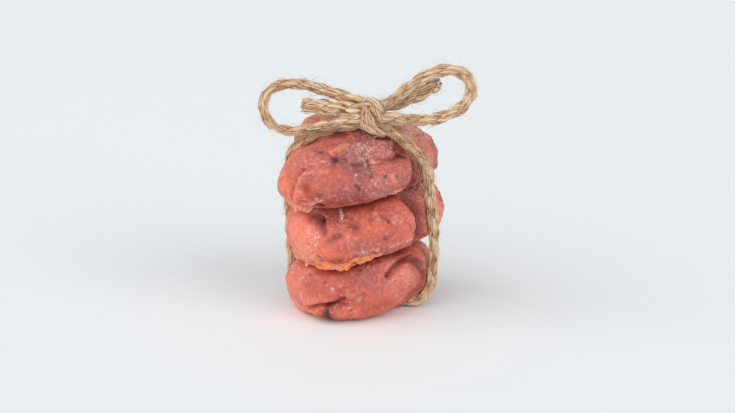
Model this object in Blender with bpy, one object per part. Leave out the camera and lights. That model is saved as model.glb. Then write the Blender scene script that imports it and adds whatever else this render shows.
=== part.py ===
"""A stack of three soft, hand-pressed dog treats tied with jute twine in a bow.

Each treat is a lump of dough squeezed in a fist: a rounded block with swells, thumb dents and
folds. The lumps sit on each other with soft, flattened contacts. One length of twine runs under
the stack, up both sides and into a bow on top. X is right, Y is back, Z is up, and the stack
stands on Z = 0 with the bow's face towards -Y.
"""

import math
from dataclasses import dataclass, field

import bmesh
import bpy
import numpy as np
from mathutils import Matrix, Vector, noise

MM = 0.001

# Twine
TWINE_DIAMETER = 3.0 * MM
TWINE_RESOLUTION = 2
JUTE_COLOUR = (0.46, 0.29, 0.17)
JUTE_ROUGHNESS = 0.9
RING_SPACING = 1.5 * TWINE_DIAMETER
BOW_SPACING = 1.2 * TWINE_DIAMETER
KNOT_SPACING = 0.6 * TWINE_DIAMETER
CLEARANCE = 0.3 * MM
UNDERSIDE_OPENING = 1.3 * MM

# Dough
CELLS_PER_SIDE = 18
FULLNESS = 2.35
DOUGH_ROUGHNESS = 0.55
CONTACT_GAP = 0.4 * MM
CONTACT_SOFTNESS = 1.0 * MM
UNEVEN_SIZE = 11.0 * MM
UNEVEN_HEIGHT = 1.3 * MM
FOLD_STEP = 0.03
FOLD_TAPER = 0.6
LIP_PLACE = 2.0
LIP_SPREAD = 1.4


@dataclass
class Swell:
    """A rounded rise in the dough, or a thumb dent where height is below zero."""

    azimuth: float
    elevation: float
    spread: float
    height: float


@dataclass
class Fold:
    """A crease pressed into the dough along a smooth line of (azimuth, elevation) points."""

    line: list
    depth: float
    width: float
    lip: float = 0.0


@dataclass
class Contact:
    """The plane that a treat is pressed against: its height, and its rise along X and along Y."""

    height: float
    rise_x: float = 0.0
    rise_y: float = 0.0

    def under(self, points):
        """The plane's height at each point."""
        return self.height + self.rise_x * points[:, 0] + self.rise_y * points[:, 1]


@dataclass
class Treat:
    """One lump: its middle, its size along its own axes, and what the hand left in it."""

    name: str
    centre: tuple
    size: tuple
    yaw: float
    roll: float
    colour: tuple
    seed: float
    swells: list = field(default_factory=list)
    folds: list = field(default_factory=list)


# Angles are in degrees about each treat's middle: azimuth 0 faces -Y and 90 faces +X.
# Swells are (azimuth, elevation, spread, rise in mm). A fold's lip rises on its left-hand side.
TREATS = [
    Treat(
        name="treat_bottom",
        centre=(-0.7 * MM, -0.6 * MM, 9.2 * MM),
        size=(44.5 * MM, 37.5 * MM, 26.5 * MM),
        yaw=30.0,
        roll=-5.0,
        colour=(0.50, 0.145, 0.115),
        seed=3.1,
        swells=[
            Swell(-49, 6, 20, 0.5),
            Swell(48, 10, 13, 1.4),
            Swell(16, 12, 12, -1.0),
            Swell(-100, 12, 15, -1.6),
            Swell(-30, -16, 12, 0.5),
            Swell(88, 20, 14, 0.6),
            Swell(118, 8, 16, -0.7),
            Swell(150, -5, 18, 0.9),
            Swell(-172, 12, 16, -0.8),
            Swell(-135, 2, 18, 0.6),
            Swell(-98, -8, 16, -0.6),
            Swell(-85, 14, 12, -0.8),
            Swell(58, -27, 20, -3.9),
            Swell(86, -20, 16, -0.8),
            Swell(12, -36, 20, -1.6),
            Swell(-30, -38, 20, -0.8),
        ],
        folds=[
            Fold([(24, 4), (25, 13), (31, 20), (41, 25), (52, 26), (62, 22), (68, 12)], 2.3, 1.9, 0.5),
            Fold([(-46, -13), (-38, -10), (-30, -7), (-20, -5), (-12, -2), (-5, 0)], 2.0, 1.9, 0.4),
            Fold([(-23, -7), (-21, -14), (-19, -22)], 2.2, 1.9),
            Fold([(128, 26), (137, 8), (132, -16)], 2.2, 1.9, 0.5),
            Fold([(-116, 20), (-134, 9), (-156, 8), (-177, -4)], 1.8, 1.9, 0.5),
        ],
    ),
    Treat(
        name="treat_middle",
        centre=(0.6 * MM, 0.0 * MM, 27.4 * MM),
        size=(49.0 * MM, 37.5 * MM, 27.0 * MM),
        yaw=30.0,
        roll=-9.0,
        colour=(0.55, 0.165, 0.120),
        seed=8.4,
        swells=[
            Swell(-48, -2, 16, 1.0),
            Swell(-35, -22, 14, 0.8),
            Swell(-24, 14, 12, -0.7),
            Swell(32, 6, 15, 1.3),
            Swell(90, 8, 15, 0.4),
            Swell(68, 6, 12, -1.8),
            Swell(112, -4, 16, -0.7),
            Swell(145, 6, 18, 0.8),
            Swell(-165, -6, 16, -0.8),
            Swell(-128, 8, 16, 0.7),
            Swell(-99, 6, 14, -2.4),
            Swell(-85, -5, 14, -0.8),
        ],
        folds=[
            Fold([(-54, 20), (-43, 12), (-35, 8), (-31, 2), (-34, -9)], 2.0, 1.9, 0.4),
            Fold([(44, 36), (51, 22), (54, 12), (55, 2), (51, -12)], 3.4, 2.2, 0.5),
            Fold([(118, 26), (127, 8), (121, -18)], 2.2, 1.9, 0.5),
            Fold([(-134, -18), (-148, -2), (-168, 4), (170, -5)], 1.8, 1.9, 0.5),
        ],
    ),
    Treat(
        name="treat_top",
        centre=(-1.3 * MM, 0.0 * MM, 43.6 * MM),
        size=(47.5 * MM, 38.0 * MM, 25.6 * MM),
        yaw=28.0,
        roll=-7.0,
        colour=(0.47, 0.140, 0.115),
        seed=14.7,
        swells=[
            Swell(-98, 1, 15, -4.2),
            Swell(-84, 2, 14, -0.9),
            Swell(-79, 30, 14, -3.6),
            Swell(-118, 36, 17, 4.4),
            Swell(-68, -10, 15, 1.0),
            Swell(-50, 34, 15, -0.8),
            Swell(-50, -11, 18, 1.0),
            Swell(-10, -4, 15, 0.7),
            Swell(16, 26, 16, -1.6),
            Swell(34, 2, 13, 1.4),
            Swell(86, 12, 15, 0.9),
            Swell(64, 26, 15, -4.0),
            Swell(66, 0, 12, -1.0),
            Swell(116, 2, 16, -0.8),
            Swell(148, 12, 18, 0.9),
            Swell(-168, 0, 16, -0.9),
            Swell(-132, 14, 16, 0.7),
            Swell(150, 55, 20, -0.7),
            Swell(-150, 60, 18, 0.6),
        ],
        folds=[
            Fold([(58, 30), (46, 20), (35, 15), (24, 13), (12, 13), (2, 16)], 2.4, 1.9, 0.7),
            Fold([(66, 50), (63, 32), (60, 16), (58, 4), (54, -14)], 2.6, 2.2),
            Fold([(-44, -19), (-36, -21), (-25, -20)], 2.4, 1.9),
            Fold([(-100, 34), (-96, 12), (-104, -16)], 1.8, 1.9, 0.4),
            Fold([(138, -20), (149, 0), (145, 18), (151, 40)], 2.3, 1.9, 0.5),
            Fold([(-144, 20), (-162, 7), (178, 9), (162, 0)], 1.8, 1.9, 0.5),
        ],
    ),
]

# From the floor up: what presses on the underside of each treat, and last on the stack's top.
CONTACTS = [
    Contact(-0.55 * MM),
    Contact(19.4 * MM, 0.20, 0.05),
    Contact(36.9 * MM, 0.17, 0.03),
    Contact(1.0),
]

# Twine routes in mm. A smooth curve passes through each route's points.
# The ring runs from the knot down the left side, under the stack and up the right side.
RING_ROUTE = [
    (0.8, -5.9, 57.6),
    (-3.4, -5.7, 57.1),
    (-7.8, -5.1, 56.2),
    (-12.2, -4.2, 54.6),
    (-15.7, -3.0, 52.7),
    (-18.5, -1.4, 50.4),
    (-20.7, 0.5, 47.0),
    (-21.8, 2.2, 42.0),
    (-22.1, 3.4, 36.0),
    (-21.8, 4.2, 29.5),
    (-21.5, 4.4, 22.0),
    (-21.3, 4.3, 14.5),
    (-21.0, 4.1, 8.5),
    (-19.9, 3.8, 4.0),
    (-16.4, 3.4, 2.0),
    (-11.0, 2.7, 1.9),
    (-4.0, 1.4, 1.9),
    (3.0, -0.6, 1.9),
    (10.0, -2.6, 1.9),
    (15.3, -3.9, 2.2),
    (18.8, -4.5, 4.0),
    (20.7, -5.0, 8.1),
    (21.3, -5.8, 13.5),
    (21.4, -6.7, 21.0),
    (21.1, -7.5, 28.5),
    (20.2, -8.1, 35.7),
    (19.8, -8.3, 41.5),
    (18.5, -8.3, 46.4),
    (15.6, -8.0, 50.2),
    (12.0, -7.4, 53.0),
    (8.6, -6.9, 55.2),
    (6.0, -6.6, 56.6),
]
BOW_LEFT_LOOP = [
    (-0.3, -4.3, 63.6),
    (-3.9, -3.5, 64.8),
    (-8.9, -2.8, 66.2),
    (-14.1, -2.2, 67.7),
    (-19.3, -1.6, 68.5),
    (-24.0, -1.5, 68.0),
    (-27.3, -2.0, 66.3),
    (-28.8, -2.8, 63.2),
    (-28.2, -3.9, 59.3),
    (-25.4, -5.0, 56.4),
    (-21.1, -6.0, 55.4),
    (-16.2, -6.9, 56.2),
    (-10.4, -7.8, 57.8),
    (-4.9, -8.7, 58.9),
    (-1.2, -9.2, 59.4),
]
BOW_RIGHT_LOOP = [
    (7.4, -5.6, 63.4),
    (10.8, -5.2, 66.1),
    (15.5, -4.6, 69.6),
    (19.6, -4.3, 72.1),
    (24.5, -4.4, 73.4),
    (28.5, -5.0, 72.8),
    (31.2, -5.6, 70.2),
    (31.5, -6.2, 66.3),
    (29.3, -6.7, 62.9),
    (25.7, -7.2, 60.8),
    (21.4, -7.6, 59.5),
    (15.9, -7.9, 59.2),
    (11.0, -8.0, 59.6),
    (8.0, -8.0, 59.9),
]
BOW_LEFT_TAIL = [
    (-1.5, -7.2, 62.3),
    (-5.7, -7.0, 62.3),
    (-10.6, -6.2, 62.6),
    (-17.7, -5.2, 63.0),
]
BOW_RIGHT_TAIL = [
    (5.6, -2.6, 61.8),
    (9.0, -1.7, 62.2),
    (13.7, -1.3, 64.0),
    (18.9, -1.4, 66.6),
    (23.2, -1.5, 69.2),
]
BOW_ROUTES = {
    "bow_loop_left": BOW_LEFT_LOOP,
    "bow_loop_right": BOW_RIGHT_LOOP,
    "bow_tail_left": BOW_LEFT_TAIL,
    "bow_tail_right": BOW_RIGHT_TAIL,
}

# The knot: a round core with one turn of twine over its top and down its front.
KNOT_CENTRE = (3.3, -6.9, 60.6)
KNOT_SIZE = (6.6, 6.6, 7.2)
KNOT_ROUTE = [
    (6.4, -6.8, 59.9),
    (6.1, -6.0, 61.5),
    (5.4, -5.3, 63.0),
    (3.4, -5.3, 63.9),
    (1.5, -6.3, 63.4),
    (0.7, -8.0, 62.2),
    (1.1, -9.3, 60.7),
    (2.6, -9.8, 58.9),
    (4.4, -9.4, 57.4),
    (6.1, -8.6, 56.2),
]
KNOT_TURN_RADIUS = 1.6 * MM
# The turn is opened out and flattened where it comes down the front.
KNOT_TURN_EXTRA = 0.3
KNOT_TURN_WIDEST = 0.68
KNOT_TURN_SPREAD = 0.2


def smooth_route(points, spacing):
    """Evenly spaced points on a Catmull-Rom curve through the route's points."""
    route = np.array(points, float)
    ends = np.vstack([2 * route[0] - route[1], route, 2 * route[-1] - route[-2]])
    fine = []
    for before, start, stop, after in zip(ends, ends[1:], ends[2:], ends[3:]):
        for t in np.linspace(0.0, 1.0, 24, endpoint=False):
            fine.append(
                0.5
                * (
                    2 * start
                    + (stop - before) * t
                    + (2 * before - 5 * start + 4 * stop - after) * t**2
                    + (3 * start - before - 3 * stop + after) * t**3
                )
            )
    fine = np.array(fine + [route[-1]])
    along = np.concatenate([[0.0], np.cumsum(np.linalg.norm(np.diff(fine, axis=0), axis=1))])
    steps = np.linspace(0.0, along[-1], max(2, round(along[-1] / spacing)) + 1)
    return np.stack([np.interp(steps, along, fine[:, k]) for k in range(3)], axis=1)


def direction_of(azimuth, elevation):
    """The unit vector at an azimuth and elevation in degrees."""
    a, e = math.radians(azimuth), math.radians(elevation)
    return np.array([math.sin(a) * math.cos(e), -math.cos(a) * math.cos(e), math.sin(e)])


def block_radius(treat, directions):
    """How far a rounded block of the treat's size reaches along each direction."""
    turn = Matrix.Rotation(math.radians(treat.yaw), 3, "Z") @ Matrix.Rotation(
        math.radians(treat.roll), 3, "Y"
    )
    own = np.abs(directions @ np.array(turn)) / (np.array(treat.size) / 2)
    return (own**FULLNESS).sum(axis=1) ** (-1.0 / FULLNESS)


def swell_height(treat, directions):
    """The rise or dent that the treat's swells give along each direction."""
    height = np.zeros(len(directions))
    for swell in treat.swells:
        near = directions @ direction_of(swell.azimuth, swell.elevation)
        angle = np.degrees(np.arccos(np.clip(near, -1.0, 1.0)))
        height += swell.height * MM * np.exp(-((angle / swell.spread) ** 2))
    return height


def fold_line(fold):
    """Points along the fold, as directions from the treat's middle."""
    line = smooth_route([direction_of(*point) for point in fold.line], FOLD_STEP)
    return line / np.linalg.norm(line, axis=1)[:, None]


def fold_depth(treat, directions, radius):
    """How deep the treat's folds cut along each direction, less the lips that they raise."""
    depth = np.zeros(len(directions))
    for fold in treat.folds:
        line = fold_line(fold)
        apart = np.linalg.norm(directions[:, None, :] - line[None, :, :], axis=2)
        nearest = apart.argmin(axis=1)
        away = apart.min(axis=1) * radius / (fold.width * MM)
        leftwards = np.cross(line, np.gradient(line, axis=0))[nearest]
        on_lip_side = (leftwards * (directions - line[nearest])).sum(axis=1) > 0
        taper = np.sin(math.pi * (nearest + 0.5) / len(line)) ** FOLD_TAPER
        groove = fold.depth * np.exp(-(away**2))
        lip = fold.lip * np.exp(-(((away - LIP_PLACE) / LIP_SPREAD) ** 2)) * on_lip_side
        depth += taper * (groove - lip) * MM
    return depth


def unevenness(treat, points):
    """The gentle rise and fall of pressed dough at each point."""
    offset = Vector((treat.seed, -treat.seed, 2 * treat.seed))
    return UNEVEN_HEIGHT * np.array([noise.noise(Vector(p / UNEVEN_SIZE) + offset) for p in points])


def pressed(heights, limit, side):
    """Heights softly held under the limit where side is 1, and over it where side is -1."""
    inside = side * (limit - heights) / CONTACT_SOFTNESS
    return limit - side * CONTACT_SOFTNESS * np.logaddexp(0.0, inside)


def dough_points(treat, directions, below, above):
    """Where the treat's surface lies along each direction from its middle."""
    radius = block_radius(treat, directions) + swell_height(treat, directions)
    radius -= fold_depth(treat, directions, radius)
    centre = np.array(treat.centre)
    radius += unevenness(treat, centre + directions * radius[:, None])
    points = centre + directions * radius[:, None]
    for contact, side in ((above, 1), (below, -1)):
        limit = contact.under(points) - side * CONTACT_GAP / 2
        points[:, 2] = pressed(points[:, 2], limit, side)
    points[:, 2] = np.maximum(points[:, 2], 0.0)
    return points


def cell_directions(cells):
    """A cube of square cells whose corners are moved to even directions on a sphere."""
    grid = bmesh.new()
    bmesh.ops.create_cube(grid, size=2.0)
    bmesh.ops.subdivide_edges(grid, edges=grid.edges[:], cuts=cells - 1, use_grid_fill=True)
    for vertex in grid.verts:
        vertex.co = Vector([math.tan(c * math.pi / 4) for c in vertex.co]).normalized()
    return grid


def material(name, colour, roughness):
    """A plain Principled BSDF finish."""
    finish = bpy.data.materials.new(name)
    finish.use_nodes = True
    shader = finish.node_tree.nodes["Principled BSDF"]
    shader.inputs["Base Color"].default_value = (*colour, 1.0)
    shader.inputs["Roughness"].default_value = roughness
    shader.inputs["Metallic"].default_value = 0.0
    return finish


def add_object(name, data, finish):
    """Links an object that shows this mesh or curve with this finish."""
    data.materials.append(finish)
    obj = bpy.data.objects.new(name, data)
    bpy.context.scene.collection.objects.link(obj)
    return obj


def add_tube(name, points, finish, radius=TWINE_DIAMETER / 2, widths=None):
    """A round tube along points, thinner or wider where widths says so."""
    curve = bpy.data.curves.new(name, "CURVE")
    curve.dimensions = "3D"
    curve.bevel_depth = radius
    curve.bevel_resolution = TWINE_RESOLUTION
    curve.use_fill_caps = True
    spline = curve.splines.new("POLY")
    spline.points.add(len(points) - 1)
    for point, place in zip(spline.points, points):
        point.co = (*place, 1.0)
    for point, width in zip(spline.points, [] if widths is None else widths):
        point.radius = width
    return add_object(name, curve, finish)


def add_strand(name, route, spacing, finish):
    """A stretch of twine, and the wider tube that keeps its neighbours clear of it."""
    points = smooth_route(np.array(route) * MM, spacing)
    add_tube(name, points, finish)
    room = add_tube(name + "_room", points, finish, TWINE_DIAMETER / 2 + CLEARANCE)
    return as_cutter(room)


def as_cutter(tube):
    """Turns a tube into a hidden mesh that only shapes others."""
    shape = tube.evaluated_get(bpy.context.evaluated_depsgraph_get())
    cutter = bpy.data.objects.new(tube.name + "_shape", bpy.data.meshes.new_from_object(shape))
    bpy.context.scene.collection.objects.link(cutter)
    bpy.data.objects.remove(tube)
    cutter.hide_render = True
    cutter.display_type = "WIRE"
    return cutter


def combine(obj, other, operation):
    """Joins another object to this one, or cuts it away."""
    modifier = obj.modifiers.new(f"{operation.lower()}_{other.name}", "BOOLEAN")
    modifier.operation = operation
    modifier.object = other


def add_knot(rooms, finish):
    """The knot, with room for each strand that enters it."""
    grid = bmesh.new()
    bmesh.ops.create_icosphere(grid, subdivisions=2, radius=0.5 * MM)
    bmesh.ops.scale(grid, vec=KNOT_SIZE, verts=grid.verts)
    bmesh.ops.translate(grid, vec=Vector(KNOT_CENTRE) * MM, verts=grid.verts)
    mesh = bpy.data.meshes.new("twine_knot")
    grid.to_mesh(mesh)
    grid.free()
    mesh.shade_smooth()
    knot = add_object("twine_knot", mesh, finish)
    points = smooth_route(np.array(KNOT_ROUTE) * MM, KNOT_SPACING)
    along = np.linspace(0.0, 1.0, len(points))
    widths = 1.0 + KNOT_TURN_EXTRA * np.exp(-(((along - KNOT_TURN_WIDEST) / KNOT_TURN_SPREAD) ** 2))
    turn = add_tube("knot_turn", points, finish, KNOT_TURN_RADIUS, widths)
    combine(knot, as_cutter(turn), "UNION")
    for room in rooms:
        combine(knot, room, "DIFFERENCE")
    room = add_tube("knot_room", points, finish, KNOT_TURN_RADIUS + CLEARANCE, widths)
    return as_cutter(room)


def add_treat(treat, below, above, rooms):
    """A lump of dough with the twine's groove pressed into it."""
    grid = cell_directions(CELLS_PER_SIDE)
    directions = np.array([v.co for v in grid.verts])
    for vertex, place in zip(grid.verts, dough_points(treat, directions, below, above)):
        vertex.co = place
    dough = material(treat.name + "_dough", treat.colour, DOUGH_ROUGHNESS)
    mesh = bpy.data.meshes.new(treat.name)
    bmesh.ops.triangulate(grid, faces=grid.faces[:], quad_method="SHORT_EDGE")
    grid.to_mesh(mesh)
    grid.free()
    mesh.shade_smooth()
    obj = add_object(treat.name, mesh, dough)
    for room in rooms:
        combine(obj, room, "DIFFERENCE")


def main():
    for obj in list(bpy.data.objects):
        bpy.data.objects.remove(obj)
    jute = material("jute", JUTE_COLOUR, JUTE_ROUGHNESS)
    ring_room = add_strand("twine_ring", RING_ROUTE, RING_SPACING, jute)
    bow_rooms = [add_strand(name, route, BOW_SPACING, jute) for name, route in BOW_ROUTES.items()]
    knot_room = add_knot([ring_room] + bow_rooms, jute)
    under_room = ring_room.copy()
    under_room.location.z = -UNDERSIDE_OPENING
    bpy.context.scene.collection.objects.link(under_room)
    own_rooms = [[under_room], [], [knot_room]]
    for treat, below, above, rooms in zip(TREATS, CONTACTS, CONTACTS[1:], own_rooms):
        add_treat(treat, below, above, [ring_room] + rooms)


main()
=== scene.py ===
"""Looks for a stack of three soft, hand-pressed dog treats tied with jute twine in a bow.

Run as a script, it builds the twine from plies and fibres, the dough from the same rounded
blocks, swells and folds as the solids with the skin's creases, pits and torn edges on top, and
a pale studio. X is right, Y is back, Z is up, and the stack stands on Z = 0.
"""

import math
from dataclasses import dataclass, field

import bmesh
import bpy
import numpy as np
from bpy.props import FloatProperty, FloatVectorProperty, IntProperty, PointerProperty
from mathutils import Matrix, Vector, noise


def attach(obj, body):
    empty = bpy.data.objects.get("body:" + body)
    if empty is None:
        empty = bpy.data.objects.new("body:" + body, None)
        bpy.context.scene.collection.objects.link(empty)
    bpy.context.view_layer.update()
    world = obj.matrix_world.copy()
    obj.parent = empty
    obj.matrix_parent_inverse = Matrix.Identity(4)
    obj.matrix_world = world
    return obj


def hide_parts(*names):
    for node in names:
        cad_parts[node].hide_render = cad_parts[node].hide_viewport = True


bl_info = {
    "name": "Tied Dog Treats",
    "version": (1, 0, 0),
    "blender": (4, 5, 0),
    "location": "3D View > Sidebar > Treats",
    "description": "A stack of hand-pressed dog treats tied with jute twine in a bow",
    "category": "Object",
}

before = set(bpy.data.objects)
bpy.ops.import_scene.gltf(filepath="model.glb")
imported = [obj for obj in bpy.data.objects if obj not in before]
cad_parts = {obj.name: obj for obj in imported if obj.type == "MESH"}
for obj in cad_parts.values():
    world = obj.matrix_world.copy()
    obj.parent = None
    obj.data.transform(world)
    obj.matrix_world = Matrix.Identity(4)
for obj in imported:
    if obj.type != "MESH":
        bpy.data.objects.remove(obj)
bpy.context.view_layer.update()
MM = 0.001
BODY = "root"


# What a maker would change


def length_property(name, text, default):
    return FloatProperty(name=name, description=text, default=default, subtype="DISTANCE", unit="LENGTH")


def colour_property(name, text, default):
    return FloatVectorProperty(
        name=name, description=text, default=default, subtype="COLOR", size=3, min=0.0, max=1.0
    )


def share_property(name, text, default):
    return FloatProperty(name=name, description=text, default=default, min=0.0, max=1.0, subtype="FACTOR")


def amount_property(name, text, default):
    return FloatProperty(name=name, description=text, default=default, min=0.0)


class TwineSettings(bpy.types.PropertyGroup):
    """Sizes and colours of the jute twine."""

    diameter: length_property("Diameter", "Width of the twine across both plies", 3.0 * MM)
    lay_length: length_property("Lay length", "Length in which a ply goes once round", 12.5 * MM)
    plies: IntProperty(name="Plies", description="Yarns twisted together", default=2, min=2, max=4)
    fibres: IntProperty(name="Fibres", description="Fibre bundles round each ply", default=28, min=6, max=40)
    fibre_width: length_property("Fibre width", "Width of one bundle of fibres", 0.32 * MM)
    hair_width: length_property("Hair width", "Width of one stray hair", 0.10 * MM)
    light: colour_property("Light fibre", "Colour of the palest fibres", (0.87, 0.685, 0.48))
    middle: colour_property("Fibre", "Colour of most fibres", (0.665, 0.425, 0.25))
    warm: colour_property("Warm fibre", "Colour of the browner fibres", (0.66, 0.32, 0.13))
    # The dark fibre colour is that of dark fibre streaks, and also painted shade deep between the plies and
    # in the gaps between fibres.
    dark: colour_property("Dark fibre", "Colour deep between the fibres", (0.19, 0.075, 0.032))


class DoughSettings(bpy.types.PropertyGroup):
    """Colours and relief of the dough."""

    salmon: colour_property("Salmon", "Colour of smooth pressed dough", (0.70, 0.155, 0.102))
    mauve: colour_property("Mauve", "Colour of drier, greyer patches", (0.37, 0.11, 0.10))
    # Coral is the colour of fresh dough, and on some marks also painted light on lit lobes.
    coral: colour_property("Coral", "Colour of fresh, moist dough in folds", (0.84, 0.195, 0.115))
    # Brick is the colour of darker red patches, and also painted shade in hollows, creases, seams and under
    # the twine.
    brick: colour_property("Brick", "Colour of moist hollows", (0.35, 0.053, 0.034))
    orange: colour_property("Orange", "Colour of thin torn edges and flecks", (0.98, 0.27, 0.05))
    # Dark is painted shade at the bottom of pits, dents and creases, and in shadows of the twine.
    dark: colour_property("Dark", "Colour at the bottom of pits", (0.15, 0.023, 0.016))
    # Frost is the dry pale bloom, and on some marks also painted light.
    frost: colour_property("Frost", "Colour of dry pale bloom", (0.90, 0.60, 0.53))
    translucency: share_property("Translucency", "Share of light that passes under the skin", 0.5)
    skin_height: length_property("Skin relief", "Rise of the skin's small lumps", 0.28 * MM)
    crumbs: amount_property("Crumbs", "Crumbs on a square millimetre of torn dough", 2.2)


class StudioSettings(bpy.types.PropertyGroup):
    """The pale studio round the stack."""

    floor: colour_property("Floor", "Colour of the floor", (0.95, 0.985, 1.0))
    sky: colour_property("Sky", "Colour of the light from all round", (0.96, 0.98, 1.0))
    sky_power: amount_property("Sky power", "Strength of the light from all round", 0.40)
    left_power: amount_property("Left light", "Strength of the left light", 2.15)
    right_power: amount_property("Right light", "Strength of the right light", 1.02)


# Helpers that the twine and the dough share

SPAN_DIVISIONS = 24
WHITE = (1.0, 1.0, 1.0, 1.0)
NOISE_MIDDLE = (0.5, 0.5, 0.5)


def smooth_route(points, spacing):
    """Evenly spaced points on a Catmull-Rom curve through the route's points."""
    route = np.array(points, float)
    ends = np.vstack([2 * route[0] - route[1], route, 2 * route[-1] - route[-2]])
    fine = []
    for before, start, stop, after in zip(ends, ends[1:], ends[2:], ends[3:]):
        for t in np.linspace(0.0, 1.0, SPAN_DIVISIONS, endpoint=False):
            fine.append(
                0.5
                * (
                    2 * start
                    + (stop - before) * t
                    + (2 * before - 5 * start + 4 * stop - after) * t**2
                    + (3 * start - before - 3 * stop + after) * t**3
                )
            )
    fine = np.array(fine + [route[-1]])
    along = np.concatenate([[0.0], np.cumsum(np.linalg.norm(np.diff(fine, axis=0), axis=1))])
    steps = np.linspace(0.0, along[-1], max(2, round(along[-1] / spacing)) + 1)
    return np.stack([np.interp(steps, along, fine[:, k]) for k in range(3)], axis=1)


def new_object(name, data):
    """Links an object that shows this mesh or curve."""
    obj = bpy.data.objects.new(name, data)
    bpy.context.scene.collection.objects.link(obj)
    return obj


class NodeMaker:
    """Adds nodes to a tree and fills or links their sockets."""

    def __init__(self, tree):
        self.tree = tree

    def add(self, kind, sockets=None, **settings):
        node = self.tree.nodes.new(kind)
        for name, value in settings.items():
            setattr(node, name, value)
        for key, value in (sockets or {}).items():
            self.fill(node.inputs[key], value)
        return node

    def fill(self, socket, value):
        if isinstance(value, bpy.types.Node):
            value = next(s for s in value.outputs if s.enabled)
        if isinstance(value, bpy.types.NodeSocket):
            self.tree.links.new(value, socket)
        else:
            socket.default_value = value

    def math(self, operation, *values, clamp=False):
        node = self.add("ShaderNodeMath", operation=operation, use_clamp=clamp)
        for socket, value in zip(node.inputs, values):
            self.fill(socket, value)
        return node.outputs[0]

    def vector(self, operation, *values):
        node = self.add("ShaderNodeVectorMath", operation=operation)
        for socket, value in zip(node.inputs, values):
            self.fill(socket, value)
        return node.outputs[0]

    def scaled(self, vector, factor):
        node = self.add("ShaderNodeVectorMath", {"Vector": vector, "Scale": factor}, operation="SCALE")
        return node.outputs[0]

    def smooth_step(self, value, low, high, start=0.0, stop=1.0):
        names = ("Value", "From Min", "From Max", "To Min", "To Max")
        sockets = dict(zip(names, (value, low, high, start, stop)))
        return self.add("ShaderNodeMapRange", sockets, interpolation_type="SMOOTHSTEP").outputs[0]

    def random(self, low, high, key, seed):
        node = self.add("FunctionNodeRandomValue", {2: low, 3: high, "ID": key, "Seed": seed})
        return node.outputs[1]

    def clouds(self, place, scale, detail=2.0):
        """Smooth noise over places, as a level (Fac) and as three levels at once (Color)."""
        return self.add("ShaderNodeTexNoise", {"Vector": place, "Scale": scale, "Detail": detail}).outputs

    def mixed(self, share, first, second):
        node = self.add("ShaderNodeMix", {0: share, 6: first, 7: second}, data_type="RGBA")
        return node.outputs[2]


def new_tree(name, kind, inputs, outputs):
    """A node tree with named sockets: each input is name: (socket type, default)."""
    tree = bpy.data.node_groups.new(name, kind)
    for label, (socket_type, default) in inputs.items():
        socket = tree.interface.new_socket(label, in_out="INPUT", socket_type=socket_type)
        if default is not None:
            socket.default_value = default
    for label, socket_type in outputs.items():
        tree.interface.new_socket(label, in_out="OUTPUT", socket_type=socket_type)
    maker = NodeMaker(tree)
    return tree, maker, maker.add("NodeGroupInput").outputs, maker.add("NodeGroupOutput").inputs


def float_socket(default):
    return ("NodeSocketFloat", default)


def int_socket(default):
    return ("NodeSocketInt", default)


def place_socket():
    return ("NodeSocketVector", (0.0, 0.0, 0.0))


def colour_socket():
    return ("NodeSocketColor", WHITE)


def grown(name, source, tree, values):
    """The plain mesh that a geometry tree makes from a source object, which is then removed."""
    modifier = source.modifiers.new("grow", "NODES")
    modifier.node_group = tree
    for item in tree.interface.items_tree:
        if item.in_out == "INPUT" and item.name in values:
            modifier[item.identifier] = values[item.name]
    unshaded = source.evaluated_get(bpy.context.evaluated_depsgraph_get())
    mesh = bpy.data.meshes.new_from_object(unshaded)
    mesh.name = name
    source.modifiers.remove(modifier)
    bpy.data.objects.remove(source)
    return new_object(name, mesh)


# Camera

CAMERA_LENS = 100.0
CAMERA_SENSOR = 36.0
CAMERA_DISTANCE = 619.0 * MM
CAMERA_ELEVATION = math.radians(17.0)
CAMERA_AIM = (1.65 * MM, 29.15 * MM)


class TREATS_OT_camera(bpy.types.Operator):
    """Places the camera a little above the stack, square to the bow"""

    bl_idname = "treats.camera"
    bl_label = "Place Camera"

    def execute(self, context):
        ahead = Vector((0.0, math.cos(CAMERA_ELEVATION), -math.sin(CAMERA_ELEVATION)))
        right = Vector((1.0, 0.0, 0.0))
        up = right.cross(ahead)
        eye = right * CAMERA_AIM[0] + up * CAMERA_AIM[1] - ahead * CAMERA_DISTANCE
        data = bpy.data.cameras.new("camera")
        data.lens = CAMERA_LENS
        data.sensor_width = CAMERA_SENSOR
        camera = new_object("camera", data)
        camera.matrix_world = Matrix.Translation(eye) @ Matrix((right, up, -ahead)).transposed().to_4x4()
        context.scene.camera = camera
        return {"FINISHED"}


# Twine

# Routes in metres, as in the solids. The ring runs from the knot down the left side, under the
# stack and up the right side.
RING_ROUTE = MM * np.array(
    [
        (0.8, -5.9, 57.6), (-3.4, -5.7, 57.1), (-7.8, -5.1, 56.2), (-12.2, -4.2, 54.6),
        (-15.7, -3.0, 52.7), (-18.5, -1.4, 50.4), (-20.7, 0.5, 47.0), (-21.8, 2.2, 42.0),
        (-22.1, 3.4, 36.0), (-21.8, 4.2, 29.5), (-21.5, 4.4, 22.0), (-21.3, 4.3, 14.5),
        (-21.0, 4.1, 8.5), (-19.9, 3.8, 4.0), (-16.4, 3.4, 2.0), (-11.0, 2.7, 1.9),
        (-4.0, 1.4, 1.9), (3.0, -0.6, 1.9), (10.0, -2.6, 1.9), (15.3, -3.9, 2.2),
        (18.8, -4.5, 4.0), (20.7, -5.0, 8.1), (21.3, -5.8, 13.5), (21.4, -6.7, 21.0),
        (21.1, -7.5, 28.5), (20.2, -8.1, 35.7), (19.8, -8.3, 41.5), (18.5, -8.3, 46.4),
        (15.6, -8.0, 50.2), (12.0, -7.4, 53.0), (8.6, -6.9, 55.2), (6.0, -6.6, 56.6),
    ]
)
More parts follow.
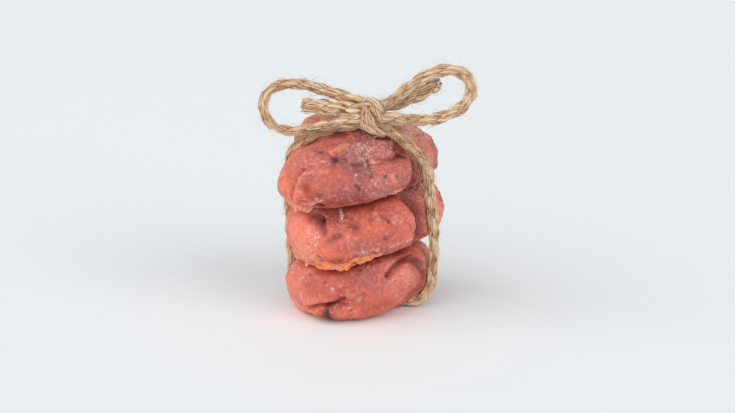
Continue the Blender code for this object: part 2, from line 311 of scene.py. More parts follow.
LEFT_LOOP = MM * np.array(
    [
        (-0.3, -4.3, 63.6), (-3.9, -3.5, 64.8), (-8.9, -2.8, 66.2), (-14.1, -2.2, 67.7),
        (-19.3, -1.6, 68.5), (-24.0, -1.5, 68.0), (-27.3, -2.0, 66.3), (-28.8, -2.8, 63.2),
        (-28.2, -3.9, 59.3), (-25.4, -5.0, 56.4), (-21.1, -6.0, 55.4), (-16.2, -6.9, 56.2),
        (-10.4, -7.8, 57.8), (-4.9, -8.7, 58.9), (-1.2, -9.2, 59.4),
    ]
)
RIGHT_LOOP = MM * np.array(
    [
        (7.4, -5.6, 63.4), (10.8, -5.2, 66.1), (15.5, -4.6, 69.6), (19.6, -4.3, 72.1),
        (24.5, -4.4, 73.4), (28.5, -5.0, 72.8), (31.2, -5.6, 70.2), (31.5, -6.2, 66.3),
        (29.3, -6.7, 62.9), (25.7, -7.2, 60.8), (21.4, -7.6, 59.5), (15.9, -7.9, 59.2),
        (11.0, -8.0, 59.6), (8.0, -8.0, 59.9),
    ]
)
LEFT_TAIL = MM * np.array([(-1.5, -7.2, 62.3), (-5.7, -7.0, 62.3), (-10.6, -6.2, 62.6), (-17.7, -5.2, 63.0)])
RIGHT_TAIL = MM * np.array(
    [(5.6, -2.6, 61.8), (9.0, -1.7, 62.2), (13.7, -1.3, 64.0), (18.9, -1.4, 66.6), (23.2, -1.5, 69.2)]
)
# Inside the knot: where a length of the bow starts, and from its loop to its tail.
LEFT_START = MM * np.array([(2.8, -5.2, 62.2)])
RIGHT_START = MM * np.array([(4.2, -7.0, 60.0)])
LEFT_THROUGH = MM * np.array([(1.6, -7.4, 60.2), (3.9, -4.9, 61.1)])
RIGHT_THROUGH = MM * np.array([(4.6, -6.2, 62.9), (1.6, -6.9, 62.4)])
RING_START = MM * np.array([(3.8, -6.8, 58.6)])
RING_END = MM * np.array([(3.4, -6.6, 58.4)])
# The knot: a hump over its top, a wide turn down its front, and the twine between them, painted dark as
# shade.
KNOT_HUMP = MM * np.array(
    [
        (1.0, -5.2, 63.3), (1.7, -6.6, 64.2), (3.0, -7.9, 64.4), (4.2, -8.6, 63.5), (5.0, -8.6, 62.0),
        (5.3, -7.9, 60.3), (5.1, -6.8, 58.6),
    ]
)
KNOT_TURN = MM * np.array(
    [
        (1.9, -5.6, 63.2), (1.6, -7.0, 62.6), (1.2, -8.6, 61.7), (1.1, -9.7, 60.5), (1.6, -10.0, 59.0),
        (2.7, -9.8, 57.5), (4.5, -9.2, 56.1), (6.5, -8.4, 54.8),
    ]
)
KNOT_UNDER = MM * np.array([(2.6, -5.2, 61.3), (4.4, -5.6, 59.6), (6.4, -5.6, 58.2), (8.6, -5.2, 57.4)])
KNOT_INSIDE = MM * np.array([(0.4, -6.9, 58.9), (2.4, -6.9, 59.0), (5.2, -6.7, 57.8), (8.2, -6.9, 56.0)])
ROUTE_STEP = 0.5 * MM


@dataclass
class Strand:
    """A length of twine: its route, the nodes it stands for, its hairs, and how it looks at its end.

    Fullness is a list of (distance from the end in mm, times the twine's width).
    """

    name: str
    route: np.ndarray
    nodes: tuple = ()
    hairs: int = 60
    longest_hair: float = 6.0 * MM
    seed: int = 0
    phase: float = 0.0
    opening: float = 0.0
    opening_length: float = 8.0 * MM
    ragged: float = 0.0
    fullness: tuple = ((0.0, 1.0),)
    # Below 1, tone paints the whole strand darker, as shade deep in the knot.
    tone: float = 1.0


BOW_STRANDS = [
    Strand(
        "bow_left",
        np.vstack([LEFT_START, LEFT_LOOP, LEFT_THROUGH, RIGHT_TAIL]),
        ("bow_loop_left", "bow_tail_right"),
        hairs=1000,
        seed=11,
        phase=0.6,
        opening=0.2,
        opening_length=12.0 * MM,
        ragged=4.0 * MM,
        fullness=(
            (0.0, 0.85), (3.0, 1.2), (8.0, 1.35), (15.0, 1.2),
            (22.0, 1.0), (60.0, 0.9), (76.0, 1.0), (98.0, 1.1),
        ),
    ),
    Strand(
        "bow_right",
        np.vstack([RIGHT_START, RIGHT_LOOP[::-1], RIGHT_THROUGH, LEFT_TAIL]),
        ("bow_loop_right", "bow_tail_left"),
        hairs=1000,
        seed=23,
        phase=1.2,
        opening=0.1,
        opening_length=10.0 * MM,
        ragged=1.2 * MM,
        fullness=((0.0, 1.2), (4.0, 1.35), (8.0, 1.45), (12.0, 1.4), (16.0, 1.2), (20.0, 1.0), (84.0, 1.1)),
    ),
]
RING = Strand("ring", np.vstack([RING_START, RING_ROUTE, RING_END]), ("twine_ring",), hairs=1500, seed=37)
KNOT_STRANDS = [
    Strand(
        "knot_turn",
        KNOT_TURN,
        ("twine_knot",),
        hairs=150,
        seed=41,
        phase=0.4,
        fullness=((0.0, 0.55), (2.5, 0.8), (5.0, 1.15), (7.5, 1.4), (9.5, 1.15), (11.5, 0.8), (13.5, 0.6)),
    ),
    Strand(
        "knot_hump",
        KNOT_HUMP,
        hairs=110,
        seed=43,
        phase=1.1,
        fullness=((0.0, 0.9), (5.0, 1.15), (12.0, 0.9)),
    ),
    # The twine deep in the knot is painted darker as shade by its low tone.
    Strand("knot_under", KNOT_UNDER, hairs=60, seed=47, fullness=((0.0, 1.1),), tone=0.4),
    Strand("knot_inside", KNOT_INSIDE, hairs=60, seed=53, fullness=((0.0, 1.1),), tone=0.7),
]
# Longer loose hairs round the knot and where the ring comes down from it.
WISPS = [
    Strand("knot_wisps", KNOT_INSIDE, hairs=90, longest_hair=11.0 * MM, seed=61, fullness=((0.0, 1.6),)),
    Strand("ring_wisps", RING_ROUTE[-7:], hairs=130, longest_hair=9.0 * MM, seed=67, fullness=((0.0, 1.1),)),
]


def geometry_sockets(**more):
    """The sockets of a geometry tree that ends in a material, with more of its own."""
    inputs = {"Geometry": ("NodeSocketGeometry", None)}
    inputs.update(more)
    inputs["Seed"] = int_socket(0)
    inputs["Material"] = ("NodeSocketMaterial", None)
    return inputs, {"Geometry": "NodeSocketGeometry"}


def around(make, angle, normal=None):
    """The direction at an angle round the curve, square to it."""
    normal = normal or make.add("GeometryNodeInputNormal").outputs[0]
    tangent = make.add("GeometryNodeInputTangent").outputs[0]
    across = make.vector("CROSS_PRODUCT", tangent, normal)
    first = make.scaled(normal, make.math("COSINE", angle))
    second = make.scaled(across, make.math("SINE", angle))
    return make.vector("ADD", first, second)


def stored(make, geometry, **attributes):
    """The geometry with named attributes stored on its points."""
    for label, value in attributes.items():
        geometry = make.add(
            "GeometryNodeStoreNamedAttribute", {"Geometry": geometry, "Name": label, "Value": value}
        )
    return geometry


def kept(make, label):
    """A named attribute of the points."""
    return make.add("GeometryNodeInputNamedAttribute", {"Name": label}).outputs["Attribute"]


def tubes(make, curves, width, sides, scale):
    """Closed tubes along curves."""
    ring = make.add("GeometryNodeCurvePrimitiveCircle", {"Resolution": sides, "Radius": width})
    curves = stored(make, curves, thick=scale)
    even = make.add("GeometryNodeSetCurveRadius", {"Curve": curves, "Radius": 1.0})
    sockets = {"Curve": even, "Profile Curve": ring, "Fill Caps": True, "Scale": kept(make, "thick")}
    return make.add("GeometryNodeCurveToMesh", sockets)


def finished(make, given, result, parts):
    """Joins the parts, makes them real and gives them the tree's material."""
    both = make.add("GeometryNodeJoinGeometry")
    for part in parts:
        make.fill(both.inputs[0], part.outputs[0])
    smooth = make.add("GeometryNodeSetShadeSmooth", {"Geometry": both})
    real = make.add("GeometryNodeRealizeInstances", {"Geometry": smooth})
    done = make.add("GeometryNodeSetMaterial", {"Geometry": real, "Material": given["Material"]})
    make.fill(result["Geometry"], done)


def turn_sockets():
    """How the plies lie round the line: shared by the plies and by the hairs on them."""
    return {
        "Plies": int_socket(2),
        "Ply Place": float_socket(0.0005),
        "Ply Radius": float_socket(0.0012),
        "Lay Length": float_socket(0.016),
        "Phase": float_socket(0.0),
    }


# How the fibres of a ply differ: each pair is the least value and the spread above it.
FIBRE_REACH = (0.91, 0.12)
FIBRE_TONE = (0.13, 0.9)
FIBRE_THICKNESS = (0.6, 0.55)
FIBRE_UNEVENNESS = (0.45, 1.2)
WANDER_SCALE = 380.0
WANDER_STEP = 3.7
STRAY_FROM = 0.84
STRAY_MORE = 2.2
OPENED_LIGHTER = 1.5
FIBRE_SIDES = 4
CORE_SIDES = 12
CORE_SHARE = 0.92
# The cores mostly take the dark colour: painted shade seen through the gaps between the fibres.
CORE_TONE = 0.5
CORE_PROUD = 0.02
CORE_CUT = 0.8


def ranged(make, share, least_and_spread):
    """A share from 0 to 1 as a value in a range."""
    least, spread = least_and_spread
    return make.math("MULTIPLY_ADD", share, spread, least)


def lay_tree():
    """Plies twisted together along a curve, each a bundle of fibres round a soft core."""
    inputs, outputs = geometry_sockets(
        **turn_sockets(),
        **{
            "Fibres": int_socket(26),
            "Fibre Radius": float_socket(0.00013),
            "Opposite Turn": float_socket(0.45),
            "Wander": float_socket(0.00034),
            "Opening": float_socket(0.0),
            "Opening Length": float_socket(0.008),
            "Ragged": float_socket(0.0),
            "Tone": float_socket(1.0),
        },
    )
    tree, make, given, result = new_tree("twine_lay", "GeometryNodeTree", inputs, outputs)
    line = make.add("GeometryNodeSetCurveNormal", {"Curve": given["Geometry"]}, mode="MINIMUM_TWIST")

    def strands(per_ply, reach, width, sides, is_core):
        """Duplicates of the line round the middle of each ply."""
        amount = make.math("MULTIPLY", given["Plies"], per_ply)
        wanted = {"Geometry": line, "Amount": amount}
        copies = make.add("GeometryNodeDuplicateElements", wanted, domain="SPLINE")
        number = copies.outputs["Duplicate Index"]
        ply = make.math("FLOOR", make.math("DIVIDE", number, per_ply))
        fibre = make.math("SUBTRACT", number, make.math("MULTIPLY", ply, per_ply))
        along = make.add("GeometryNodeSplineParameter").outputs["Length"]
        whole = make.add("GeometryNodeSplineLength").outputs["Length"]
        left = make.math("SUBTRACT", whole, along)
        opened = make.math("MULTIPLY", make.smooth_step(left, given["Opening Length"], 0.0), given["Opening"])
        turn = make.math("MULTIPLY", make.math("DIVIDE", along, given["Lay Length"]), math.tau)
        first = make.math("MULTIPLY_ADD", make.math("DIVIDE", ply, given["Plies"]), math.tau, given["Phase"])
        ply_angle = make.math("SUBTRACT", first, turn)

        def chance(step):
            return make.random(0.0, 1.0, number, make.math("ADD", given["Seed"], step))

        deep, tone, loose = chance(1), chance(2), chance(3)
        share = make.math("DIVIDE", make.math("ADD", fibre, chance(4)), per_ply)
        turned = make.math("MULTIPLY", turn, given["Opposite Turn"])
        fibre_angle = make.math("MULTIPLY_ADD", share, math.tau, turned)
        place = make.math("MULTIPLY", given["Ply Place"], make.math("ADD", opened, 1.0))
        outwards = around(make, ply_angle)
        depth = ranged(make, deep, FIBRE_REACH)
        out = make.math("MULTIPLY", make.math("MULTIPLY", reach, depth), make.math("ADD", opened, 1.0))
        offset = make.vector("ADD", make.scaled(outwards, place), make.scaled(around(make, fibre_angle), out))
        fullness = make.add("GeometryNodeInputRadius").outputs[0]
        uneven = make.add(
            "ShaderNodeTexNoise",
            {
                "Vector": make.add("GeometryNodeInputPosition"),
                "W": make.math("MULTIPLY_ADD", number, WANDER_STEP, given["Seed"]),
                "Scale": WANDER_SCALE,
                "Detail": 1.0,
            },
            noise_dimensions="4D",
        )
        drift = make.vector("SUBTRACT", uneven.outputs["Color"], NOISE_MIDDLE)
        stray = make.math("MULTIPLY_ADD", make.math("GREATER_THAN", loose, STRAY_FROM), STRAY_MORE, 1.0)
        wander = 0.0 if is_core else make.math("MULTIPLY", given["Wander"], stray)
        offset = make.vector("ADD", offset, make.scaled(drift, wander))
        # How far out each fibre lies; where it is low, the fibre takes painted shade.
        ahead = make.add("ShaderNodeVectorMath", {0: offset, 1: outwards}, operation="DOT_PRODUCT")
        widest = make.math("ADD", given["Ply Place"], given["Ply Radius"])
        clear = make.math("DIVIDE", ahead.outputs["Value"], widest)
        # A strand's tone below 1 paints the whole strand darker as shade, through how proud its fibres count
        # and through their colour.
        shade_offset = make.math("MULTIPLY_ADD", given["Tone"], 0.5, -0.5)
        proud = CORE_PROUD if is_core else make.math("ADD", clear, shade_offset)
        tone = CORE_TONE if is_core else ranged(make, tone, FIBRE_TONE)
        lighter = make.math("MULTIPLY", opened, OPENED_LIGHTER)
        shade = make.math("MULTIPLY_ADD", tone, given["Tone"], lighter)
        toned = stored(make, copies, tone=shade, along=along, proud=proud)
        shift = make.scaled(offset, fullness)
        moved = make.add("GeometryNodeSetPosition", {"Geometry": toned, "Offset": shift})
        short = CORE_CUT if is_core else make.math("POWER", deep, 2.0)
        cut = make.math("SUBTRACT", whole, make.math("MULTIPLY", short, given["Ragged"]))
        trimmed = make.add("GeometryNodeTrimCurve", {"Curve": moved, 4: 0.0, 5: cut}, mode="LENGTH")
        if is_core:
            return tubes(make, trimmed, width, sides, fullness)
        thick = ranged(make, deep, FIBRE_THICKNESS)
        thick = make.math("MULTIPLY", thick, ranged(make, uneven.outputs["Fac"], FIBRE_UNEVENNESS))
        thick = make.math("MULTIPLY", thick, fullness)
        return tubes(make, trimmed, width, sides, thick)

    fibres = strands(given["Fibres"], given["Ply Radius"], given["Fibre Radius"], FIBRE_SIDES, False)
    core_radius = make.math("MULTIPLY", given["Ply Radius"], CORE_SHARE)
    cores = strands(1, 0.0, core_radius, CORE_SIDES, True)
    finished(make, given, result, (cores, fibres))
    return tree


# How the stray hairs differ: each pair is the lowest and the highest value.
HAIR_POINTS = 7
HAIR_SIDES = 3
HAIR_LENGTH_BIAS = 2.2
HAIR_RISE = (0.12, 0.75)
HAIR_BEND = (0.8, 1.8)
HAIR_DRIFT = (-0.9, 0.9)
HAIR_DRIFT_LENGTH = 2.4 * MM
HAIR_TONE = (0.05, 0.8)
HAIR_THICKNESS = (0.6, 1.25)
HAIR_TAPER = -0.6
LYING_LOWER = -0.9
SHORTEST_HAIR = 0.9 * MM


def fuzz_tree():
    """Stray hairs: some lie across the plies, and some bend away from them."""
    inputs, outputs = geometry_sockets(
        **turn_sockets(),
        **{
            "Hairs": int_socket(300),
            "Shortest": float_socket(0.001),
            "Longest": float_socket(0.006),
            "Lying": float_socket(0.5),
            "Hair Radius": float_socket(0.00005),
            "Lowest": float_socket(0.0001),
        },
    )
    tree, make, given, result = new_tree("twine_fuzz", "GeometryNodeTree", inputs, outputs)
    line = make.add("GeometryNodeSetCurveNormal", {"Curve": given["Geometry"]}, mode="MINIMUM_TWIST")
    line = stored(make, line, place=make.add("GeometryNodeSplineParameter").outputs["Length"])
    normal = make.add("GeometryNodeInputNormal").outputs[0]
    line = make.add(
        "GeometryNodeStoreNamedAttribute",
        {"Geometry": line, "Name": "side", "Value": normal},
        data_type="FLOAT_VECTOR",
    )
    wanted = {"Geometry": line, "Amount": given["Hairs"]}
    copies = make.add("GeometryNodeDuplicateElements", wanted, domain="SPLINE")
    number = copies.outputs["Duplicate Index"]

    def chance(low, high, step):
        return make.random(low, high, number, make.math("ADD", given["Seed"], step))

    reach = make.math("POWER", chance(0.0, 1.0, 1), HAIR_LENGTH_BIAS)
    span = make.math("SUBTRACT", given["Longest"], given["Shortest"])
    span = make.math("MULTIPLY_ADD", reach, span, given["Shortest"])
    whole = make.add("GeometryNodeSplineLength").outputs["Length"]
    start = make.math("MULTIPLY", chance(0.0, 1.0, 2), make.math("SUBTRACT", whole, span))
    stop = make.math("ADD", start, span)
    cut = make.add("GeometryNodeTrimCurve", {"Curve": copies, 4: start, 5: stop}, mode="LENGTH")
    even = make.add("GeometryNodeResampleCurve", {"Curve": cut, "Count": HAIR_POINTS}, mode="COUNT")
    factor = make.add("GeometryNodeSplineParameter").outputs["Factor"]
    back = make.math("GREATER_THAN", chance(0.0, 1.0, 3), 0.5)
    far = make.math("ABSOLUTE", make.math("SUBTRACT", back, factor))
    lying = make.math("LESS_THAN", chance(0.0, 1.0, 4), given["Lying"])
    rise = make.math("MULTIPLY", span, chance(*HAIR_RISE, 5))
    rise = make.math("MULTIPLY", rise, make.math("MULTIPLY_ADD", lying, LYING_LOWER, 1.0))
    rise = make.math("MULTIPLY", rise, make.math("POWER", far, chance(*HAIR_BEND, 6)))
    drift = make.math("MULTIPLY", make.math("DIVIDE", span, HAIR_DRIFT_LENGTH), chance(*HAIR_DRIFT, 7))
    angle = make.math("MULTIPLY_ADD", drift, make.math("POWER", far, 1.3), chance(0.0, math.tau, 8))
    turn = make.math("MULTIPLY", make.math("DIVIDE", kept(make, "place"), given["Lay Length"]), math.tau)
    across = make.math("COSINE", make.math("ADD", make.math("SUBTRACT", angle, given["Phase"]), turn))
    across = make.math("ABSOLUTE", across)
    surface = make.math("MULTIPLY_ADD", across, given["Ply Place"], given["Ply Radius"])
    fullness = make.add("GeometryNodeInputRadius").outputs[0]
    surface = make.math("MULTIPLY_ADD", surface, fullness, rise)
    side = make.add("GeometryNodeInputNamedAttribute", {"Name": "side"}, data_type="FLOAT_VECTOR").outputs[0]
    outwards = make.scaled(around(make, angle, side), surface)
    lifted = make.vector("ADD", make.add("GeometryNodeInputPosition").outputs[0], outwards)
    parts = make.add("ShaderNodeSeparateXYZ", {0: lifted}).outputs
    above = make.math("MAXIMUM", parts[2], given["Lowest"])
    held = make.add("ShaderNodeCombineXYZ", {0: parts[0], 1: parts[1], 2: above})
    moved = make.add("GeometryNodeSetPosition", {"Geometry": even, "Position": held})
    toned = stored(make, moved, tone=chance(*HAIR_TONE, 9), along=factor, proud=1.0)
    taper = make.math("MULTIPLY_ADD", far, HAIR_TAPER, 1.0)
    thick = make.math("MULTIPLY", chance(*HAIR_THICKNESS, 10), taper)
    finished(make, given, result, (tubes(make, toned, given["Hair Radius"], HAIR_SIDES, thick),))
    return tree


def tree_named(name, build):
    """The node tree of that name, built the first time that it is asked for."""
    return bpy.data.node_groups.get(name) or build()


def route_curve(name, points, fullness):
    """A plain curve through points, with the twine's fullness as its radius."""
    data = bpy.data.curves.new(name, "CURVE")
    data.dimensions = "3D"
    spline = data.splines.new("POLY")
    spline.points.add(len(points) - 1)
    for point, place, radius in zip(spline.points, points, fullness):
        point.co = (*place, 1.0)
        point.radius = radius
    return new_object(name, data)


FIBRE_COLOURS = ("Light", "Middle", "Warm", "Dark")
# How fine the fibres' blotches, streaks, warm stretches and grain are.
BLOTCH_SCALE = 330.0
STREAK_SCALE = 420.0
STREAK_ROWS = 5.0
WARM_SCALE = 260.0
FIBRE_GRAIN_SCALE = 3200.0


def fibre_streaks():
    """Colour along a fibre: its own tone, with paler and darker stretches, and painted shade between the
    plies.
    """
    inputs = {
        "Place": place_socket(),
        "Tone": float_socket(0.5),
        "Along": float_socket(0.0),
        "Proud": float_socket(1.0),
    }
    for name in FIBRE_COLOURS:
        inputs[name] = colour_socket()
    outputs = {"Color": "NodeSocketColor", "Height": "NodeSocketFloat"}
    tree, make, given, result = new_tree("fibre_streaks", "ShaderNodeTree", inputs, outputs)

    def wave(place, scale):
        return make.math("SUBTRACT", make.clouds(place, scale)["Fac"], 0.5)

    own_row = make.math("MULTIPLY", given["Tone"], STREAK_ROWS)
    along = make.add("ShaderNodeCombineXYZ", {"X": given["Along"], "Y": own_row})
    level = make.math("MULTIPLY_ADD", wave(given["Place"], BLOTCH_SCALE), 1.5, given["Tone"])
    level = make.math("MULTIPLY_ADD", wave(along, STREAK_SCALE), 1.1, level)
    low = make.smooth_step(level, -0.1, 0.38)
    high = make.smooth_step(level, 0.42, 1.05)
    colour = make.mixed(low, given["Dark"], given["Middle"])
    elsewhere = make.vector("ADD", along, (3.0, 1.0, 0.0))
    warm = make.smooth_step(wave(elsewhere, WARM_SCALE), 0.02, 0.16, 0.0, 0.8)
    colour = make.mixed(warm, colour, given["Warm"])
    colour = make.mixed(high, colour, given["Light"])
    # Painted shade: fibres that lie deep between the plies, and the cores, take the dark colour.
    unshaded = make.smooth_step(given["Proud"], -0.03, 0.2, 0.12, 1.0)
    make.fill(result["Color"], make.mixed(unshaded, given["Dark"], colour))
    make.fill(result["Height"], make.clouds(given["Place"], FIBRE_GRAIN_SCALE)["Fac"])
    return tree


def jute_material(settings, name="jute_fibre", lighter=0.0):
    """Matt, streaky plant fibre."""
    found = bpy.data.materials.get(name)
    if found:
        return found
    finish = bpy.data.materials.new(name)
    finish.use_nodes = True
    make = NodeMaker(finish.node_tree)
    shader = finish.node_tree.nodes["Principled BSDF"]
    streaks = make.add("ShaderNodeGroup", node_tree=tree_named("fibre_streaks", fibre_streaks))
    make.fill(streaks.inputs["Place"], make.add("ShaderNodeTexCoord").outputs["Object"])
    for label in ("Tone", "Along", "Proud"):
        source = make.add("ShaderNodeAttribute", attribute_name=label.lower())
        make.fill(streaks.inputs[label], source.outputs["Fac"])
    for label in FIBRE_COLOURS:
        colour = getattr(settings, label.lower())
        # A lighter copy paints light: the stray hairs use it for the pale halo of lit hairs round the twine.
        streaks.inputs[label].default_value = (*(min(1.0, c * (1.0 + lighter)) for c in colour), 1.0)
    make.fill(shader.inputs["Base Color"], streaks.outputs["Color"])
    shader.inputs["Roughness"].default_value = 0.72
    shader.inputs["Specular IOR Level"].default_value = 0.3
    shader.inputs["Sheen Weight"].default_value = 0.25
    shader.inputs["Sheen Roughness"].default_value = 0.5
    relief = {"Height": streaks.outputs["Height"], "Strength": 0.35, "Distance": 0.1 * MM}
    make.fill(shader.inputs["Normal"], make.add("ShaderNodeBump", relief))
    return finish


def strand_line(strand):
    """The strand's points, and its fullness at each."""
    points = smooth_route(strand.route, ROUTE_STEP)
    to_end = np.linspace((len(points) - 1) * ROUTE_STEP / MM, 0.0, len(points))
    places, widths = zip(*strand.fullness)
    return points, np.interp(to_end, places, widths)


# Of the twine's measured width: how far a ply's middle lies from the twine's, and its radius.
# Loose plies bulge past the width that is measured on taut twine.
PLY_PLACE = 0.145
PLY_RADIUS = 0.37


def turn_values(strand, settings):
    """The values of the sockets that the plies and the hairs share."""
    return {
        "Plies": settings.plies,
        "Ply Place": settings.diameter * PLY_PLACE,
        "Ply Radius": settings.diameter * PLY_RADIUS,
        "Lay Length": settings.lay_length,
        "Phase": strand.phase,
        "Seed": strand.seed,
    }


def laid(strand, settings):
    """The plies and fibres of a strand."""
    points, fullness = strand_line(strand)
    values = {
        **turn_values(strand, settings),
        "Fibres": settings.fibres,
        "Fibre Radius": settings.fibre_width / 2,
        "Opening": strand.opening,
        "Opening Length": strand.opening_length,
        "Ragged": strand.ragged,
        "Tone": strand.tone,
        "Material": jute_material(settings),
    }
    source = route_curve(strand.name + "_line", points, fullness)
    return grown(strand.name, source, tree_named("twine_lay", lay_tree), values)


def fuzzed(strand, settings, name, lying=0.5):
    """The stray hairs of a strand."""
    points, fullness = strand_line(strand)
    values = {
        **turn_values(strand, settings),
        "Hairs": strand.hairs,
        "Shortest": SHORTEST_HAIR,
        "Longest": strand.longest_hair,
        "Lying": lying,
        "Hair Radius": settings.hair_width / 2,
        # Painted light: the hairs take a paler copy of the fibre colours, for the lit halo round the twine.
        "Material": jute_material(settings, "jute_hair", 0.2),
    }
    source = route_curve(name + "_line", points, fullness)
    return grown(name, source, tree_named("twine_fuzz", fuzz_tree), values)


def finish_piece(obj, nodes=()):
    """Puts a piece on the body and hides the solids that it stands for."""
    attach(obj, BODY)
    if nodes:
        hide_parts(*nodes)
    return obj


def lay_strand(strand, settings):
    """A strand and its hairs as finished pieces."""
    twine = finish_piece(laid(strand, settings), strand.nodes)
    hairs = finish_piece(fuzzed(strand, settings, strand.name + "_fuzz"))
    return twine, hairs


class TREATS_OT_bow(bpy.types.Operator):
    """Lays the bow's two lengths of twine, each a loop and a tail, with their stray hairs"""

    bl_idname = "treats.bow"
    bl_label = "Lay Bow"

    def execute(self, context):
        settings = context.scene.treats_twine
        for strand in BOW_STRANDS:
            twine, hairs = lay_strand(strand, settings)
            points, _ = strand_line(strand)
        return {"FINISHED"}


class TREATS_OT_ring(bpy.types.Operator):
    """Lays the twine that runs under the stack and up its sides"""

    bl_idname = "treats.ring"
    bl_label = "Lay Ring"

    def execute(self, context):
        lay_strand(RING, context.scene.treats_twine)
        return {"FINISHED"}


class TREATS_OT_knot(bpy.types.Operator):
    """Lays the knot's hump and turn, what shows between them, and the loose hairs round it"""

    bl_idname = "treats.knot"
    bl_label = "Lay Knot"

    def execute(self, context):
        settings = context.scene.treats_twine
        for strand in KNOT_STRANDS:
            lay_strand(strand, settings)
        for strand in WISPS:
            finish_piece(fuzzed(strand, settings, strand.name, lying=0.1))
        return {"FINISHED"}


# Dough


@dataclass
class Swell:
    """A rounded rise in the dough, or a thumb dent where its height, in mm, is below zero.

    Angles are in degrees. Azimuth 0 faces the bow's side, and azimuth 90 faces right.
    """

    azimuth: float
    elevation: float
    spread: float
    height: float


@dataclass
class Fold:
    """A crease pressed into the dough along a smooth line of (azimuth, elevation) points.

    Depth, width and lip are in mm.
    """

    line: list
    depth: float
    width: float
    lip: float = 0.0


@dataclass
class Contact:
    """The plane that a treat is pressed against: its height, and its rise along X and along Y."""

    height: float
    rise_x: float = 0.0
    rise_y: float = 0.0

    def under(self, points):
        """The plane's height at each point."""
        return self.height + self.rise_x * points[:, 0] + self.rise_y * points[:, 1]


@dataclass
class Mark:
    """A line or spot left on the skin: its width and rise in mm, how broken it is, and its tints.

    The lip, in mm, is how far the dough stands up along the left of the line.
    """

    line: list
    width: float
    rise: float = 0.0
    broken: float = 0.0
    tints: dict = field(default_factory=dict)
    lip: float = 0.0


@dataclass
class Treat:
    """One lump: its middle, its size along its own axes, what the hand left in it and its marks.

    Dryness is how far its colour leans to mauve all over.
    """

    name: str
    slot: str
    centre: tuple
    size: tuple
    yaw: float
    roll: float
    seed: float
    dryness: float
    swells: list
    folds: list
    marks: list


@dataclass
class TornEdge:
    """A thin ragged rim of dough along a line on a treat.

    Reach and root thickness are in mm. Droop, below level, and curl towards the tip are in degrees.
    """

    treat: Treat
    line: list
    reach: float
    droop: float
    curl: float
    root: float
    seed: float
    tints: dict
    tip_tints: dict


# The rounded block that a treat starts from, how softly it is pressed, and how folds are shaped.
FULLNESS = 2.35
CONTACT_GAP = 0.4 * MM
CONTACT_SOFTNESS = 1.0 * MM
UNEVEN_SIZE = 11.0 * MM
UNEVEN_HEIGHT = 1.3 * MM
FOLD_STEP = 0.03
FOLD_TAPER = 0.6
LIP_PLACE = 2.0
LIP_SPREAD = 1.4
CELLS = 120
# Of these tints, brick and dark also carry painted shade, and coral and frost painted light, where marks put
# them.
TINTS = ("mauve", "coral", "brick", "orange", "dark", "frost")
MASKS = (*TINTS, "crumbs")

